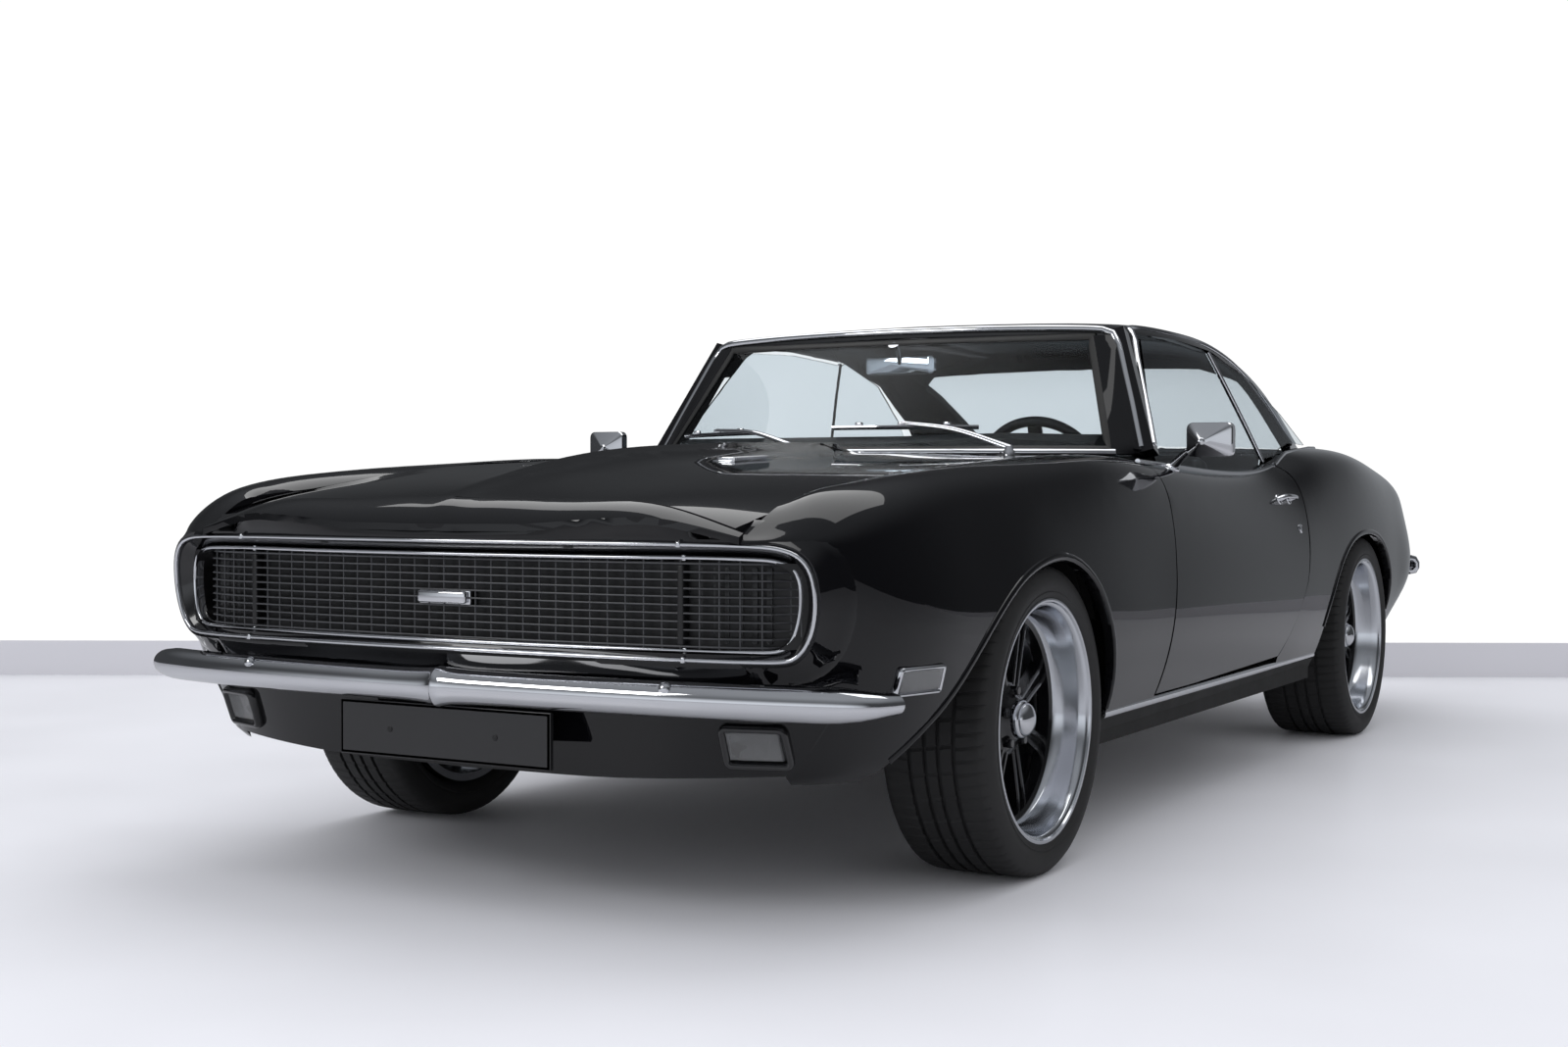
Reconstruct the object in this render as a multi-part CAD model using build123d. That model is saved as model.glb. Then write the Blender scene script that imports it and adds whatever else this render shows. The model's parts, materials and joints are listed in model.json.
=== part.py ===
from build123d import *

import os
from collections import namedtuple
from math import cos, hypot, radians, sin

# Two-door fastback-roofed coupe of the late 1960s, in millimetres.
# +Z is up, the nose points along -Y and +X is the car's left side.
# The origin lies on the ground, midway between nose and tail.

os.makedirs("parts", exist_ok=True)

# ---------------------------------------------------------------- driving sizes
WHEELBASE = 2743
FRONT_AXLE_Y = -1410
REAR_AXLE_Y = FRONT_AXLE_Y + WHEELBASE
TYRE_R = 329
AXLE_Z = TYRE_R
RIM_R = 259
FRONT_RIM_X = 888
REAR_RIM_X = 897
FRONT_TYRE_W = 245
REAR_TYRE_W = 275
BUMPER_FRONT_Y = -2345
BUMPER_REAR_Y = 2345

PANEL_T = 22
HEADER_T = 14
SKIN_DEPTH = 30
DOOR_DEPTH = 108
LONG_BAY = 300
SURFACE_TOL = 0.2
PANEL_GAP = 6
SEAT_GAP = 0.3
GLASS_T = 6
FIT = 0.3
AXLE_R = 20
BUMPER_WALL = 7
AXLE_END = 798
RUNNING_FIT = 0.05

HOOD_FRONT_Y = -2275
HOOD_REAR_Y = -800
DECK_FRONT_Y = 1640
FLOOR_Z = 215
WINDSHIELD_LOW = (-785, 892)
WINDSHIELD_HIGH = (-348, 1233)
WINDSHIELD_BOW = 306
SILL_TOP_Z = 318
STEER_AXIS_X = 690
KNUCKLE_R = 28
DOOR_RIM = 20
DOOR_INNER_X = 705
DOOR_LOW_Z = SILL_TOP_Z + DOOR_RIM
SPOKE_PAIRS = 8
SPOKE_SPREAD = 7
GRILLE_BARS = 9
GRILLE_TOP_Z = 706

# ---------------------------------------------------------------- body tables
# Each row is one upright profile round the body, from the middle of the nose, along the
# left side, to the middle of the tail.  x, y is its widest point in plan.  The other
# columns are points up the profile, each (distance in from that widest point, height).
Profile = namedtuple("Profile", "x y foot sill crease shoulder roll crown seam")
SKIN = [
    Profile(0, -2342, (112, 268), (75, 400), (14, 590), (0, 735), (14, 757), (38, 781), (70, 803)),
    Profile(420, -2325, (112, 275), (75, 400), (14, 590), (0, 728), (14, 750), (40, 774), (75, 795)),
    Profile(657, -2287, (115, 288), (75, 400), (14, 590), (0, 708), (12, 728), (45, 752), (110, 782)),
    Profile(770, -2232, (112, 292), (70, 400), (10, 590), (0, 703), (14, 738), (60, 774), (140, 802)),
    Profile(850, -2145, (105, 292), (60, 390), (5, 588), (8, 700), (32, 765), (85, 806), (170, 818)),
    Profile(895, -2000, (95, 285), (45, 380), (0, 586), (16, 712), (50, 795), (110, 832), (190, 822)),
    Profile(911, -1750, (75, 262), (36, 350), (0, 585), (22, 725), (62, 818), (125, 855), (212, 838)),
    Profile(916, -1410, (66, 248), (30, 330), (0, 586), (24, 740), (66, 838), (132, 874), (216, 872)),
    Profile(914, -900, (64, 246), (30, 325), (0, 590), (24, 755), (58, 853), (118, 892), (205, 895)),
    Profile(913, -300, (64, 248), (30, 325), (0, 590), (26, 745), (62, 832), (112, 870), (140, 874)),
    Profile(913, 450, (64, 255), (30, 335), (0, 590), (26, 742), (64, 826), (114, 864), (142, 868)),
    Profile(917, 900, (66, 262), (32, 345), (0, 596), (18, 765), (48, 868), (110, 922), (190, 938)),
    Profile(921, 1333, (70, 268), (34, 345), (0, 600), (14, 770), (42, 880), (112, 938), (230, 948)),
    Profile(913, 1750, (80, 300), (42, 380), (0, 598), (22, 755), (56, 852), (125, 908), (240, 925)),
    Profile(886, 2080, (90, 335), (50, 410), (0, 596), (26, 735), (56, 818), (120, 868), (220, 884)),
    Profile(830, 2220, (88, 345), (50, 420), (4, 596), (10, 735), (28, 805), (75, 850), (150, 866)),
    Profile(650, 2290, (85, 350), (60, 425), (14, 596), (0, 750), (10, 815), (50, 862), (120, 878)),
    Profile(400, 2306, (85, 350), (60, 425), (18, 596), (0, 762), (10, 826), (53, 872), (127, 890)),
    Profile(0, 2315, (85, 350), (60, 425), (20, 596), (0, 765), (10, 830), (55, 876), (130, 895)),
]
PROFILE_COLUMNS = Profile._fields[2:]

# Hood heights along the car: on the centre ridge and at four distances out from it.
HOOD_X = (0, 60, 250, 480, 700)
HOOD = [
    # y, ridge, flank, middle, valley, edge
    (-2345, 745, 743, 740, 734, 705),
    (-2270, 803, 800, 796, 788, 728),
    (-2200, 824, 818, 811, 801, 759),
    (-2100, 848, 837, 826, 815, 781),
    (-1977, 871, 855, 841, 829, 804),
    (-1813, 894, 874, 857, 847, 829),
    (-1590, 912, 889, 873, 864, 857),
    (-1344, 923, 900, 884, 877, 876),
    (-1011, 932, 911, 898, 891, 892),
    (-700, 938, 920, 909, 902, 900),
    (-430, 944, 928, 915, 906, 892),
]

# Deck heights: centre, and at three distances out.
DECK_X = (0, 300, 550, 700)
DECK = [
    # y, centre, middle, valley, edge
    (1500, 968, 966, 960, 952),
    (1700, 955, 952, 945, 932),
    (1900, 938, 934, 926, 912),
    (2100, 915, 911, 902, 890),
    (2200, 902, 898, 890, 880),
    (2330, 882, 879, 873, 866),
]

# Roof heights on the centre line, and the outer corner of the roof below it.
ROOF = [
    # y, centre
    (-345, 1262), (-200, 1280), (100, 1296), (450, 1293), (750, 1262), (950, 1222),
    (1150, 1162), (1350, 1080), (1500, 1015), (1640, 958), (1760, 925),
]
ROOF_SECTION = [
    # x, drop below the centre line
    (0, 0), (300, 4), (520, 13), (588, 24), (622, 48), (640, 84), (700, 220), (775, 400),
]

# Side view outlines as chains of arcs, (y, z): end, middle, end, middle, end ...
DOOR_FRONT = [(-600, 900), (-608, 760), (-634, 640), (-663, 500), (-713, SILL_TOP_Z)]
DOOR_REAR = [(350, 334), (472, 440), (560, 545), (606, 690), (622, 900)]
FRONT_ARCH = [(-1056, 200), (-1062, 390), (-1112, 510), (-1216, 617), (-1366, 665),
              (-1570, 635), (-1742, 546), (-1915, 390), (-2090, 200)]
REAR_ARCH = [(806, 200), (830, 425), (930, 556), (1090, 640), (1294, 668),
             (1480, 640), (1620, 540), (1704, 400), (1740, 200)]
SIDE_WINDOW = [(-395, 905), (-130, 1240), (160, 1246), (510, 1232), (800, 1170),
               (1040, 1060), (1195, 962), (1120, 930), (840, 884), (-395, 884)]
DOOR_GLASS = [(-330, 800), (-352, 905), (-110, 1228), (160, 1236), (470, 1223),
              (618, 905), (596, 890), (596, 800)]
QUARTER_GLASS_LOW = [(1020, 966), (880, 944), (800, 918), (634, 908), (490, 1220)]


# ---------------------------------------------------------------- curve helpers
def smooth(xs, values, x):
    """Cubic curve through a table's column, at x."""
    n = len(xs)
    steps = [(values[i + 1] - values[i]) / (xs[i + 1] - xs[i]) for i in range(n - 1)]
    slopes = [steps[0]]
    for i in range(1, n - 1):
        before, after = xs[i] - xs[i - 1], xs[i + 1] - xs[i]
        slopes.append((steps[i - 1] * after + steps[i] * before) / (before + after))
    slopes.append(steps[-1])
    i = max(0, min(n - 2, sum(1 for v in xs[1:-1] if v <= x)))
    h = xs[i + 1] - xs[i]
    t = (x - xs[i]) / h
    return (values[i] * (1 + 2 * t) * (1 - t) ** 2 + h * slopes[i] * t * (1 - t) ** 2
            + values[i + 1] * t * t * (3 - 2 * t) + h * slopes[i + 1] * t * t * (t - 1))


SKIN_U = [0]
for before, after in zip(SKIN, SKIN[1:]):
    SKIN_U.append(SKIN_U[-1] + hypot(after.x - before.x, after.y - before.y))
COLUMN_INDEX = list(range(len(PROFILE_COLUMNS)))


def outline(u):
    """Widest point of the body in plan at arc length u."""
    return (smooth(SKIN_U, [row.x for row in SKIN], u),
            smooth(SKIN_U, [row.y for row in SKIN], u))


def skin_point(u, v, proud=0):
    """Point of the outer skin: u along the body, v up the profile by column."""
    x, y = outline(u)
    x2, y2 = outline(u + 1)
    x1, y1 = outline(u - 1)
    length = hypot(x2 - x1, y2 - y1)
    inward = (-(y2 - y1) / length, (x2 - x1) / length)
    depths, heights = [], []
    for name in PROFILE_COLUMNS:
        depths.append(smooth(SKIN_U, [getattr(row, name)[0] for row in SKIN], u))
        heights.append(smooth(SKIN_U, [getattr(row, name)[1] for row in SKIN], u))
    depth = smooth(COLUMN_INDEX, depths, v) - proud
    return Vector(x + inward[0] * depth, y + inward[1] * depth, smooth(COLUMN_INDEX, heights, v))


def spread(first, last, step):
    """Evenly spaced values from first to last, about step apart."""
    count = max(3, round(abs(last - first) / step))
    return [first + (last - first) * i / count for i in range(count + 1)]


def stations(first, last):
    """Arc lengths of the table's rows from first to last, with a middle one in each long bay."""
    result = []
    for a, b in zip(SKIN_U[first:last], SKIN_U[first + 1:last + 1]):
        result += [a, (a + b) / 2] if b - a > LONG_BAY else [a]
    return result + [SKIN_U[last]]


def skin_face(first, last, v_first=0, v_last=6, proud=0):
    """Outer skin between two table rows as one smooth face, or one that stands proud of it."""
    return Face.make_surface_from_array_of_points(
        [[skin_point(u, v, proud) for v in range(v_first, v_last + 1)]
         for u in stations(first, last)], tol=SURFACE_TOL)


def field_face(rows, columns, x_first, x_last):
    """Smooth top face from a table of heights, between two distances from the centre line."""
    ys = [row[0] for row in rows]

    def height(x, y):
        return smooth(columns, [smooth(ys, [row[1 + i] for row in rows], y)
                                for i in range(len(columns))], abs(x))

    return Face.make_surface_from_array_of_points(
        [[Vector(x, y, height(x, y)) for y in ys] for x in spread(x_first, x_last, 90)],
        tol=SURFACE_TOL)


def sheet(face, depth, direction):
    """Panel as thick as depth along a direction, under a face."""
    return extrude(face, depth, dir=direction)


def mirrored(shape):
    """The same shape on the other side of the car."""
    return mirror(shape, Plane.YZ)


def side_prism(points, x_first, x_last):
    """Prism across the car from a side view outline of straight lines."""
    face = make_face(Polyline(*[(x_first, y, z) for y, z in points], close=True))
    return extrude(face, x_last - x_first, dir=(1, 0, 0))


def arc_prism(chain, corners, x_first, x_last, shift=(0, 0)):
    """Prism across the car from a chain of arcs, closed through straight corners."""
    points = [(x_first, y + shift[0], z + shift[1]) for y, z in chain]
    edges = [ThreePointArc(*points[i:i + 3]) for i in range(0, len(points) - 2, 2)]
    closing = [points[-1]] + [(x_first, y, z) for y, z in corners] + [points[0]]
    edges += [Line(a, b) for a, b in zip(closing, closing[1:])]
    return extrude(make_face(edges), x_last - x_first, dir=(1, 0, 0))


def plan_prism(points, z_first, z_last):
    """Upright prism from a plan outline."""
    face = make_face(Polyline(*[(x, y, z_first) for x, y in points], close=True))
    return extrude(face, z_last - z_first, dir=(0, 0, 1))


def block(x, y, z):
    """Box from its (low, high) pairs."""
    return Pos(sum(x) / 2, sum(y) / 2, sum(z) / 2) * Box(x[1] - x[0], y[1] - y[0], z[1] - z[0])


def rod(start, end, radius):
    """Round bar between two points."""
    axis = Vector(*end) - Vector(*start)
    plane = Plane(origin=start, z_dir=axis)
    return extrude(plane * Circle(radius), axis.length)


def bent_rod(points, radius, bend):
    """Round bar along straight runs with tangent bends."""
    path = FilletPolyline(*points, radius=bend)
    plane = Plane(origin=path @ 0, z_dir=path % 0)
    return sweep(plane * Circle(radius), path=path)


def x_ring(x_first, x_last, y, z, outer, inner):
    """Ring or disc round an axle."""
    plane = Plane(origin=(x_first, y, z), z_dir=(1, 0, 0))
    ring = Circle(outer) - Circle(inner) if inner else Circle(outer)
    return extrude(plane * ring, x_last - x_first)


def biggest(shape):
    """The largest solid of a cut result."""
    return max(shape.solids(), key=lambda solid: solid.volume)


def save(name, shape):
    """Write one node."""
    solids = shape.solids() if hasattr(shape, "solids") else shape
    export_step(Compound(solids) if len(solids) > 1 else solids[0], f"parts/{name}.step")


# ---------------------------------------------------------------- wheels
def build_tyre(rim_x, width):
    """Tyre as a turned ring, its outer wall just proud of the rim lip."""
    outer = rim_x + 6
    inner = outer - width
    bead = RIM_R - 15
    wall = 62
    profile = make_face(Polyline(
        (inner + 26, bead), (inner + 4, RIM_R + 16), (inner, RIM_R + 34), (inner + 8, TYRE_R - 14),
        (inner + 26, TYRE_R), (outer - 26, TYRE_R), (outer - 8, TYRE_R - 14),
        (outer, RIM_R + 34), (outer - 4, RIM_R + 16), (outer - 26, bead),
        (outer - wall + 18, bead), (outer - 34, TYRE_R - 30), (inner + 34, TYRE_R - 30),
        (inner + wall - 18, bead), close=True))
    return profile


def turned(profile):
    """Solid of revolution round the X axis from a profile of (x, radius)."""
    return revolve(profile, axis=Axis.X)


def build_rim(rim_x, width):
    """Stepped rim barrel with eight paired spokes, hub and cap."""
    outer = rim_x
    inner = outer - width + 14
    barrel = turned(make_face(Polyline(
        (inner, RIM_R - 16), (inner, RIM_R - 34), (inner + 40, RIM_R - 40), (outer - 120, RIM_R - 40),
        (outer - 112, RIM_R - 46), (outer - 92, RIM_R - 46), (outer - 84, RIM_R - 26),
        (outer - 12, RIM_R - 20), (outer - 6, RIM_R - 8), (outer, RIM_R - 8), (outer, RIM_R),
        (outer - 8, RIM_R), (outer - 12, RIM_R - 15), (outer - 22, RIM_R - 15 - FIT),
        (inner + 24, RIM_R - 15 - FIT), close=True)))
    hub_face = outer - 62
    hub = turned(make_face(Polyline(
        (hub_face - 70, 0), (hub_face - 70, 82), (hub_face - 22, 82), (hub_face - 8, 60),
        (hub_face, 34), (hub_face + 22, 32), (hub_face + 34, 22), (hub_face + 38, 0), close=True)))
    spoke = loft([Plane(origin=(hub_face - 34, 0, 60), z_dir=(0, 0, 1)) * Rectangle(44, 26),
                  Plane(origin=(outer - 106, 0, RIM_R - 42), z_dir=(0, 0, 1)) * Rectangle(26, 13)])
    wheel = barrel + hub - rod((hub_face - 71, 0, 0), (AXLE_END + FIT, 0, 0), AXLE_R + RUNNING_FIT)
    for i in range(SPOKE_PAIRS):
        for side in (-1, 1):
            angle = 360 * i / SPOKE_PAIRS + side * SPOKE_SPREAD
            wheel = wheel + Rot(angle, 0, 0) * spoke
    return wheel


# ---------------------------------------------------------------- body panels
def door_prism(shrink, low_lift):
    """Side view prism of the door, made smaller all round."""
    front = [(y + shrink, z) for y, z in DOOR_FRONT]
    rear = [(y - shrink, z) for y, z in DOOR_REAR]
    x_first, x_last = 600, 1000
    points = [[(x_first, y, z) for y, z in chain] for chain in (front, rear)]
    edges = [ThreePointArc(*chain[i:i + 3]) for chain in points for i in range(0, len(chain) - 2, 2)]
    edges += [Line(points[0][-1], points[1][0]), Line(points[1][-1], points[0][0])]
    prism = extrude(make_face(edges), x_last - x_first, dir=(1, 0, 0))
    return prism - block((500, 1100), (-900, 900), (200, SILL_TOP_Z + 4 + low_lift))


def build_fender():
    """Left front fender, from the nose round to the door gap."""
    shell = sheet(skin_face(2, 9), SKIN_DEPTH, (-1, 0.5, -0.9))
    behind = arc_prism(DOOR_FRONT, [(200, 200), (200, 900)], 500, 1100, shift=(-PANEL_GAP, 0))
    seam = plan_prism([(660, -2400), (660, -2260), (697, -2000), (712, HOOD_REAR_Y),
                       (720, -560), (720, -300), (0, -300), (0, -2400)], 100, 1100)
    shell = shell - behind - seam - block((500, 1100), (-560, 200), (100, 1100))
    shell = shell - arc_prism(FRONT_ARCH, [], 500, 1100)
    shell = shell - block((500, 1000), (FRONT_AXLE_Y, -400), (150, SILL_TOP_Z - 6))
    shell = shell - front_frame(1608 + 2 * SEAT_GAP, 198 + 2 * SEAT_GAP, 70 + SEAT_GAP, 618)
    shell = shell - block((0, 1000), (-2400, -2150), (150, 400))
    return biggest(shell)


def build_hood():
    """Hood between the header seam and the cowl."""
    half = sheet(field_face(HOOD, HOOD_X, 0, 720), PANEL_T, (0, 0, -1))
    edge = PANEL_GAP
    plan = plan_prism([(0, HOOD_FRONT_Y + edge), (640, HOOD_FRONT_Y + edge),
                       (655 - edge + 2, -2240), (697 - edge, -2000),
                       (712 - edge, HOOD_REAR_Y), (0, HOOD_REAR_Y)], 600, 1000)
    half = half & plan
    return biggest(half + mirrored(half))


def build_header():
    """Header panel between the hood and the grille."""
    half = sheet(field_face(HOOD[:6], HOOD_X, 0, 720), HEADER_T, (0, 0, -1))
    plan = plan_prism([(0, -2342), (220, -2338), (420, -2325), (560, -2306),
                       (660 - SEAT_GAP, -2289), (660 - SEAT_GAP, HOOD_FRONT_Y), (0, HOOD_FRONT_Y)], 600, 1000)
    leg = block((290, 310), (-2308, -2292), (GRILLE_TOP_Z + SEAT_GAP, 768))
    half = (half & plan) + leg
    return biggest(half + mirrored(half))


def build_cowl(windshield):
    """Cowl panel between the hood and the windshield."""
    half = sheet(field_face(HOOD[-4:], HOOD_X, 0, 730), HEADER_T, (0, 0, -1))
    rear = [(690 * k, -720 + 280 * k * k) for k in spread(1, 0, 0.2)]
    plan = plan_prism([(0, HOOD_REAR_Y + PANEL_GAP), (712 - SEAT_GAP, HOOD_REAR_Y + PANEL_GAP),
                       (719.5, -566), (718, -440)] + rear, 600, 1100)
    half = biggest((half & plan) - windshield)
    return biggest(half + mirrored(half))


def build_quarter():
    """Left quarter panel, from the door gap to the tail corner."""
    shell = sheet(skin_face(9, 16), SKIN_DEPTH, (-1, -0.5, -0.9))
    ahead = arc_prism(DOOR_REAR, [(330, 900), (330, 300), (350 + PANEL_GAP, 300)], 500, 1100,
                      shift=(PANEL_GAP, -3))
    shell = shell - block((500, 1100), (-600, 340), (100, 1100)) - ahead
    shell = shell - block((500, 1100), (-600, 622 + PANEL_GAP), (880, 1100))
    shell = shell - block((500, 764), (300, 1130), (850, 1100))
    shell = shell - block((500, 1100), (-600, REAR_AXLE_Y), (100, SILL_TOP_Z - 6))
    shell = shell - block((500, 1100), (-600, 300), (100, 1100))
    shell = shell - arc_prism(REAR_ARCH, [], 500, 1100)
    shell = shell - block((0, 645), (1500, 2500), (100, 1200))
    return biggest(shell)


def build_decklid():
    """Boot lid."""
    half = sheet(field_face(DECK, DECK_X, 0, 720), PANEL_T, (0, 0, -1))
    edge = PANEL_GAP
    plan = plan_prism([(0, DECK_FRONT_Y), (560, DECK_FRONT_Y), (645 - edge, 1720),
                       (645 - edge, 2210), (560, 2236), (0, 2262)], 600, 1100)
    half = half & plan
    return biggest(half + mirrored(half))


def build_tail():
    """Tail panel with the rear valance under it."""
    half = [[skin_point(u, v) for v in range(7)] for u in stations(16, 18)[:-1]]
    rows = half + [[Vector(-p.X, p.Y, p.Z) for p in row] for row in half[::-1]]
    panel = sheet(Face.make_surface_from_array_of_points(rows, tol=SURFACE_TOL), PANEL_T, (0, -1, 0))
    edge = 645 - SEAT_GAP
    return biggest(panel & block((-edge, edge), (2100, 2400), (300, 850)))


def roof_point(reach, y):
    """Point of the roof and sail surface; reach counts columns out from the middle."""
    columns = list(range(len(ROOF_SECTION)))
    centre = smooth([row[0] for row in ROOF], [row[1] for row in ROOF], y)
    x = smooth(columns, [row[0] for row in ROOF_SECTION], abs(reach))
    drop = smooth(columns, [row[1] for row in ROOF_SECTION], abs(reach))
    return Vector(x if reach > 0 else -x, y, centre - drop)


def roof_face():
    """Left half of the roof's outer surface."""
    last = len(ROOF_SECTION) - 1
    return Face.make_surface_from_array_of_points(
        [[roof_point(reach, row[0]) for row in ROOF] for reach in spread(0, last, 0.5)], tol=SURFACE_TOL)


def rear_opening(shrink, first):
    """Plan prism of the rear window opening, made smaller all round."""
    return plan_prism([(first, 884 + shrink), (470 - shrink, 884 + shrink), (560 - shrink, 1000),
                       (560 - shrink, 1580), (first, 1580)], 800, 1400)


def build_roof(quarter):
    """Roof skin with its sail panels, windshield pillars and window openings."""
    skin = sheet(roof_face(), SKIN_DEPTH, (-0.7, 0, -1))
    skin = skin & block((0, 900), (-400, DECK_FRONT_Y - 60), (905, 1400))
    skin = skin - side_prism(SIDE_WINDOW, 300, 1000)
    skin = skin - rear_opening(0, -50) - block((0, 900), (-400, 700), (800, 1150)) - quarter
    skin = skin - plan_prism([(-50, -450), (-50, -345), (0, -345), (200, -339), (400, -321), (572, -296),
                              (900, -240), (900, -450)], 1100, 1400)
    skin = biggest(skin)
    pillar = loft([Plane(origin=(744, -398, 905), z_dir=(-0.3, 0.4, 1)) * Rectangle(46, 60),
                   Plane(origin=(608, -258, 1236), z_dir=(-0.3, 0.4, 1)) * Rectangle(44, 60)])
    half = skin + pillar
    return biggest(half + mirrored(half))


def build_rear_window():
    """Rear glass lying in the opening between the sail panels."""
    half = sheet(Pos(0, 0, -6) * roof_face(), GLASS_T, (0, 0, -1)) & rear_opening(SEAT_GAP, 0)
    return biggest(half + mirrored(half))


def glass_between(lower, upper, width_low, width_high, bow, direction):
    """Curved glass from its lower and upper middle points, (y, z)."""
    rows = []
    for k in (0, 0.33, 0.67, 1):
        y = lower[0] + (upper[0] - lower[0]) * k
        z = lower[1] + (upper[1] - lower[1]) * k
        half = width_low + (width_high - width_low) * k
        rows.append([Vector(s * half, y + bow * s * s * (1 - 0.84 * k), z) for s in spread(-1, 1, 0.33)])
    return sheet(Face.make_surface_from_array_of_points(rows, tol=SURFACE_TOL), GLASS_T, direction)


def side_pane(outward, depth):
    """Curved pane through the whole side of the cabin."""
    points = [(784, 780), (758, 880), (716, 1000), (670, 1120), (618, 1250)]
    outer = Spline(*[(x + outward, -600, z) for x, z in points])
    inner = Spline(*[(x + outward - depth, -600, z) for x, z in points[::-1]])
    edges = [outer, Line(outer @ 1, inner @ 0), inner, Line(inner @ 1, outer @ 0)]
    return extrude(make_face(edges), 1900, dir=(0, 1, 0))


def side_glass(points):
    """Side glass cut from the cabin's curved side surface."""
    return biggest(side_pane(0, GLASS_T) & side_prism(points, 500, 1000))


def build_door():
    """Left door: a thick box whose outer skin folds out in a thin rim all round."""
    direction = Vector(-1, 0, -0.8).normalized()
    face = skin_face(7, 11)
    skin = extrude(face, SKIN_DEPTH, dir=direction) & door_prism(0, 0)
    inner = extrude(face, DOOR_DEPTH, dir=direction) & door_prism(DOOR_RIM, DOOR_RIM - 4)
    inner = inner - block((500, DOOR_INNER_X), (-800, 800), (200, 1000))
    slot = side_pane(SEAT_GAP, GLASS_T + 2 * SEAT_GAP) & block((600, 900), (-400, 604), (800 - SEAT_GAP, 1000))
    return biggest(skin + inner - slot)


def build_filler():
    """Panel between the rear window and the boot lid."""
    half = sheet(field_face(DECK[:3], DECK_X, 0, 640), HEADER_T, (0, 0, -1))
    half = half & block((0, 555), (1584, DECK_FRONT_Y - PANEL_GAP), (600, 1100))
    return biggest(half + mirrored(half))


# ---------------------------------------------------------------- nose and tail
def nose_band(inset, depth, x_last, z_low, z_high):
    """Upright band that follows the nose in plan, set back from its outline."""
    front, rear = [], []
    u = 0
    while outline(u)[0] < x_last:
        x, y = outline(u)
        x2, y2 = outline(u + 1)
        length = hypot(x2 - x, y2 - y)
        nx, ny = -(y2 - y) / length, (x2 - x) / length
        front.append((x + nx * inset, y + ny * inset))
        rear.append((x + nx * (inset + depth), y + ny * (inset + depth)))
        u += 60
    front[0] = (0, front[0][1])
    rear[0] = (0, rear[0][1])
    half = plan_prism(front + rear[::-1], z_low, z_high)
    return half + mirrored(half)


def front_frame(width, height, corner, middle_z):
    """Rounded rectangle seen from the front, run back through the nose."""
    plane = Plane(origin=(0, -2400, middle_z), x_dir=(1, 0, 0), z_dir=(0, 1, 0))
    return extrude(plane * RectangleRounded(width, height, corner), 400)


def build_surround():
    """Bright outer and inner rings of the grille."""
    outer = nose_band(2, 14, 830, 480, 740) & (front_frame(1608, 198, 70, 618) - front_frame(1586, 176, 60, 618))
    inner = nose_band(30, 12, 800, 480, 740) & (front_frame(1492, 158, 52, 606) - front_frame(1474, 140, 44, 606))
    return outer.solids() + inner.solids()


def build_grille():
    """Black grille: housing, crossbars and the two headlamp covers."""
    ring = nose_band(16.3, 60, 820, 480, 740) & (front_frame(1586 - 2 * FIT, 176 - 2 * FIT, 60, 618)
                                              - front_frame(1492 + 2 * FIT, 158 + 2 * FIT, 53, 606))
    back = nose_band(60, 16, 800, 500, 720) & front_frame(1520, 166, 50, 610)
    bars = None
    for i in range(GRILLE_BARS):
        z = 606 + (i - (GRILLE_BARS - 1) / 2) * 15
        bar = nose_band(42, 19, 735, z - 1.5, z + 1.5)
        bars = bar if bars is None else bars + bar
    return biggest(ring + back + bars)


def pressed_bumper(path, section, first):
    """Left half of a pressed bumper shell: a section run along a plan path."""
    lengths = [0]
    for a, b in zip(path, path[1:]):
        lengths.append(lengths[-1] + hypot(b[0] - a[0], b[1] - a[1]))

    def at(run):
        return (smooth(lengths, [p[0] for p in path], run), smooth(lengths, [p[1] for p in path], run))

    faces = []
    middle = sum(z for _, z in section) / len(section)
    deepest = max(inset for inset, _ in section)
    inside = [(min(inset + BUMPER_WALL, deepest), middle + (z - middle) * 0.78) for inset, z in section]
    for run in spread(first, lengths[-1], 130):
        x, y = at(run)
        x1, y1 = at(run - 1)
        x2, y2 = at(run + 1)
        length = hypot(x2 - x1, y2 - y1)
        nx, ny = -(y2 - y1) / length, (x2 - x1) / length
        taper = 1 - 0.35 * max(0, (run - lengths[-2]) / (lengths[-1] - lengths[-2])) ** 2
        faces.append(make_face(Polyline(
            *[(x + nx * inset, y + ny * inset, middle + (z - middle) * taper)
              for inset, z in section + inside[::-1]], close=True)))
    return loft(faces) & block((0, 1000), (-2500, 2500), (0, 1000))


def build_front_bumper():
    """Bright front bumper with its brackets."""
    path = [(0, BUMPER_FRONT_Y), (250, -2338), (512, -2316), (720, -2282), (840, -2248),
            (900, -2208), (921, -2150)]
    half = pressed_bumper(path, [(40, 402), (12, 405), (0, 424), (0, 446), (12, 462), (40, 467)],
                          -20)
    bracket = block((380, 420), (-2322, -2190 - SEAT_GAP), (415, 450))
    half = biggest(half + bracket)
    return biggest(half + mirrored(half))


def build_rear_bumper(tail):
    """Bright rear bumper with its brackets."""
    path = [(0, -BUMPER_REAR_Y), (400, -2342), (680, -2330), (800, -2306), (862, -2268), (892, -2190)]
    half = pressed_bumper(path, [(30, 496), (10, 500), (0, 522), (0, 548), (10, 570), (30, 575)],
                          -20)
    half = mirror(half, Plane.XZ)
    bracket = block((380, 420), (2240, 2334), (520, 550)) - tail
    half = biggest(half + max(bracket.solids(), key=lambda solid: solid.center().Y))
    return biggest(half + mirrored(half))


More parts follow.
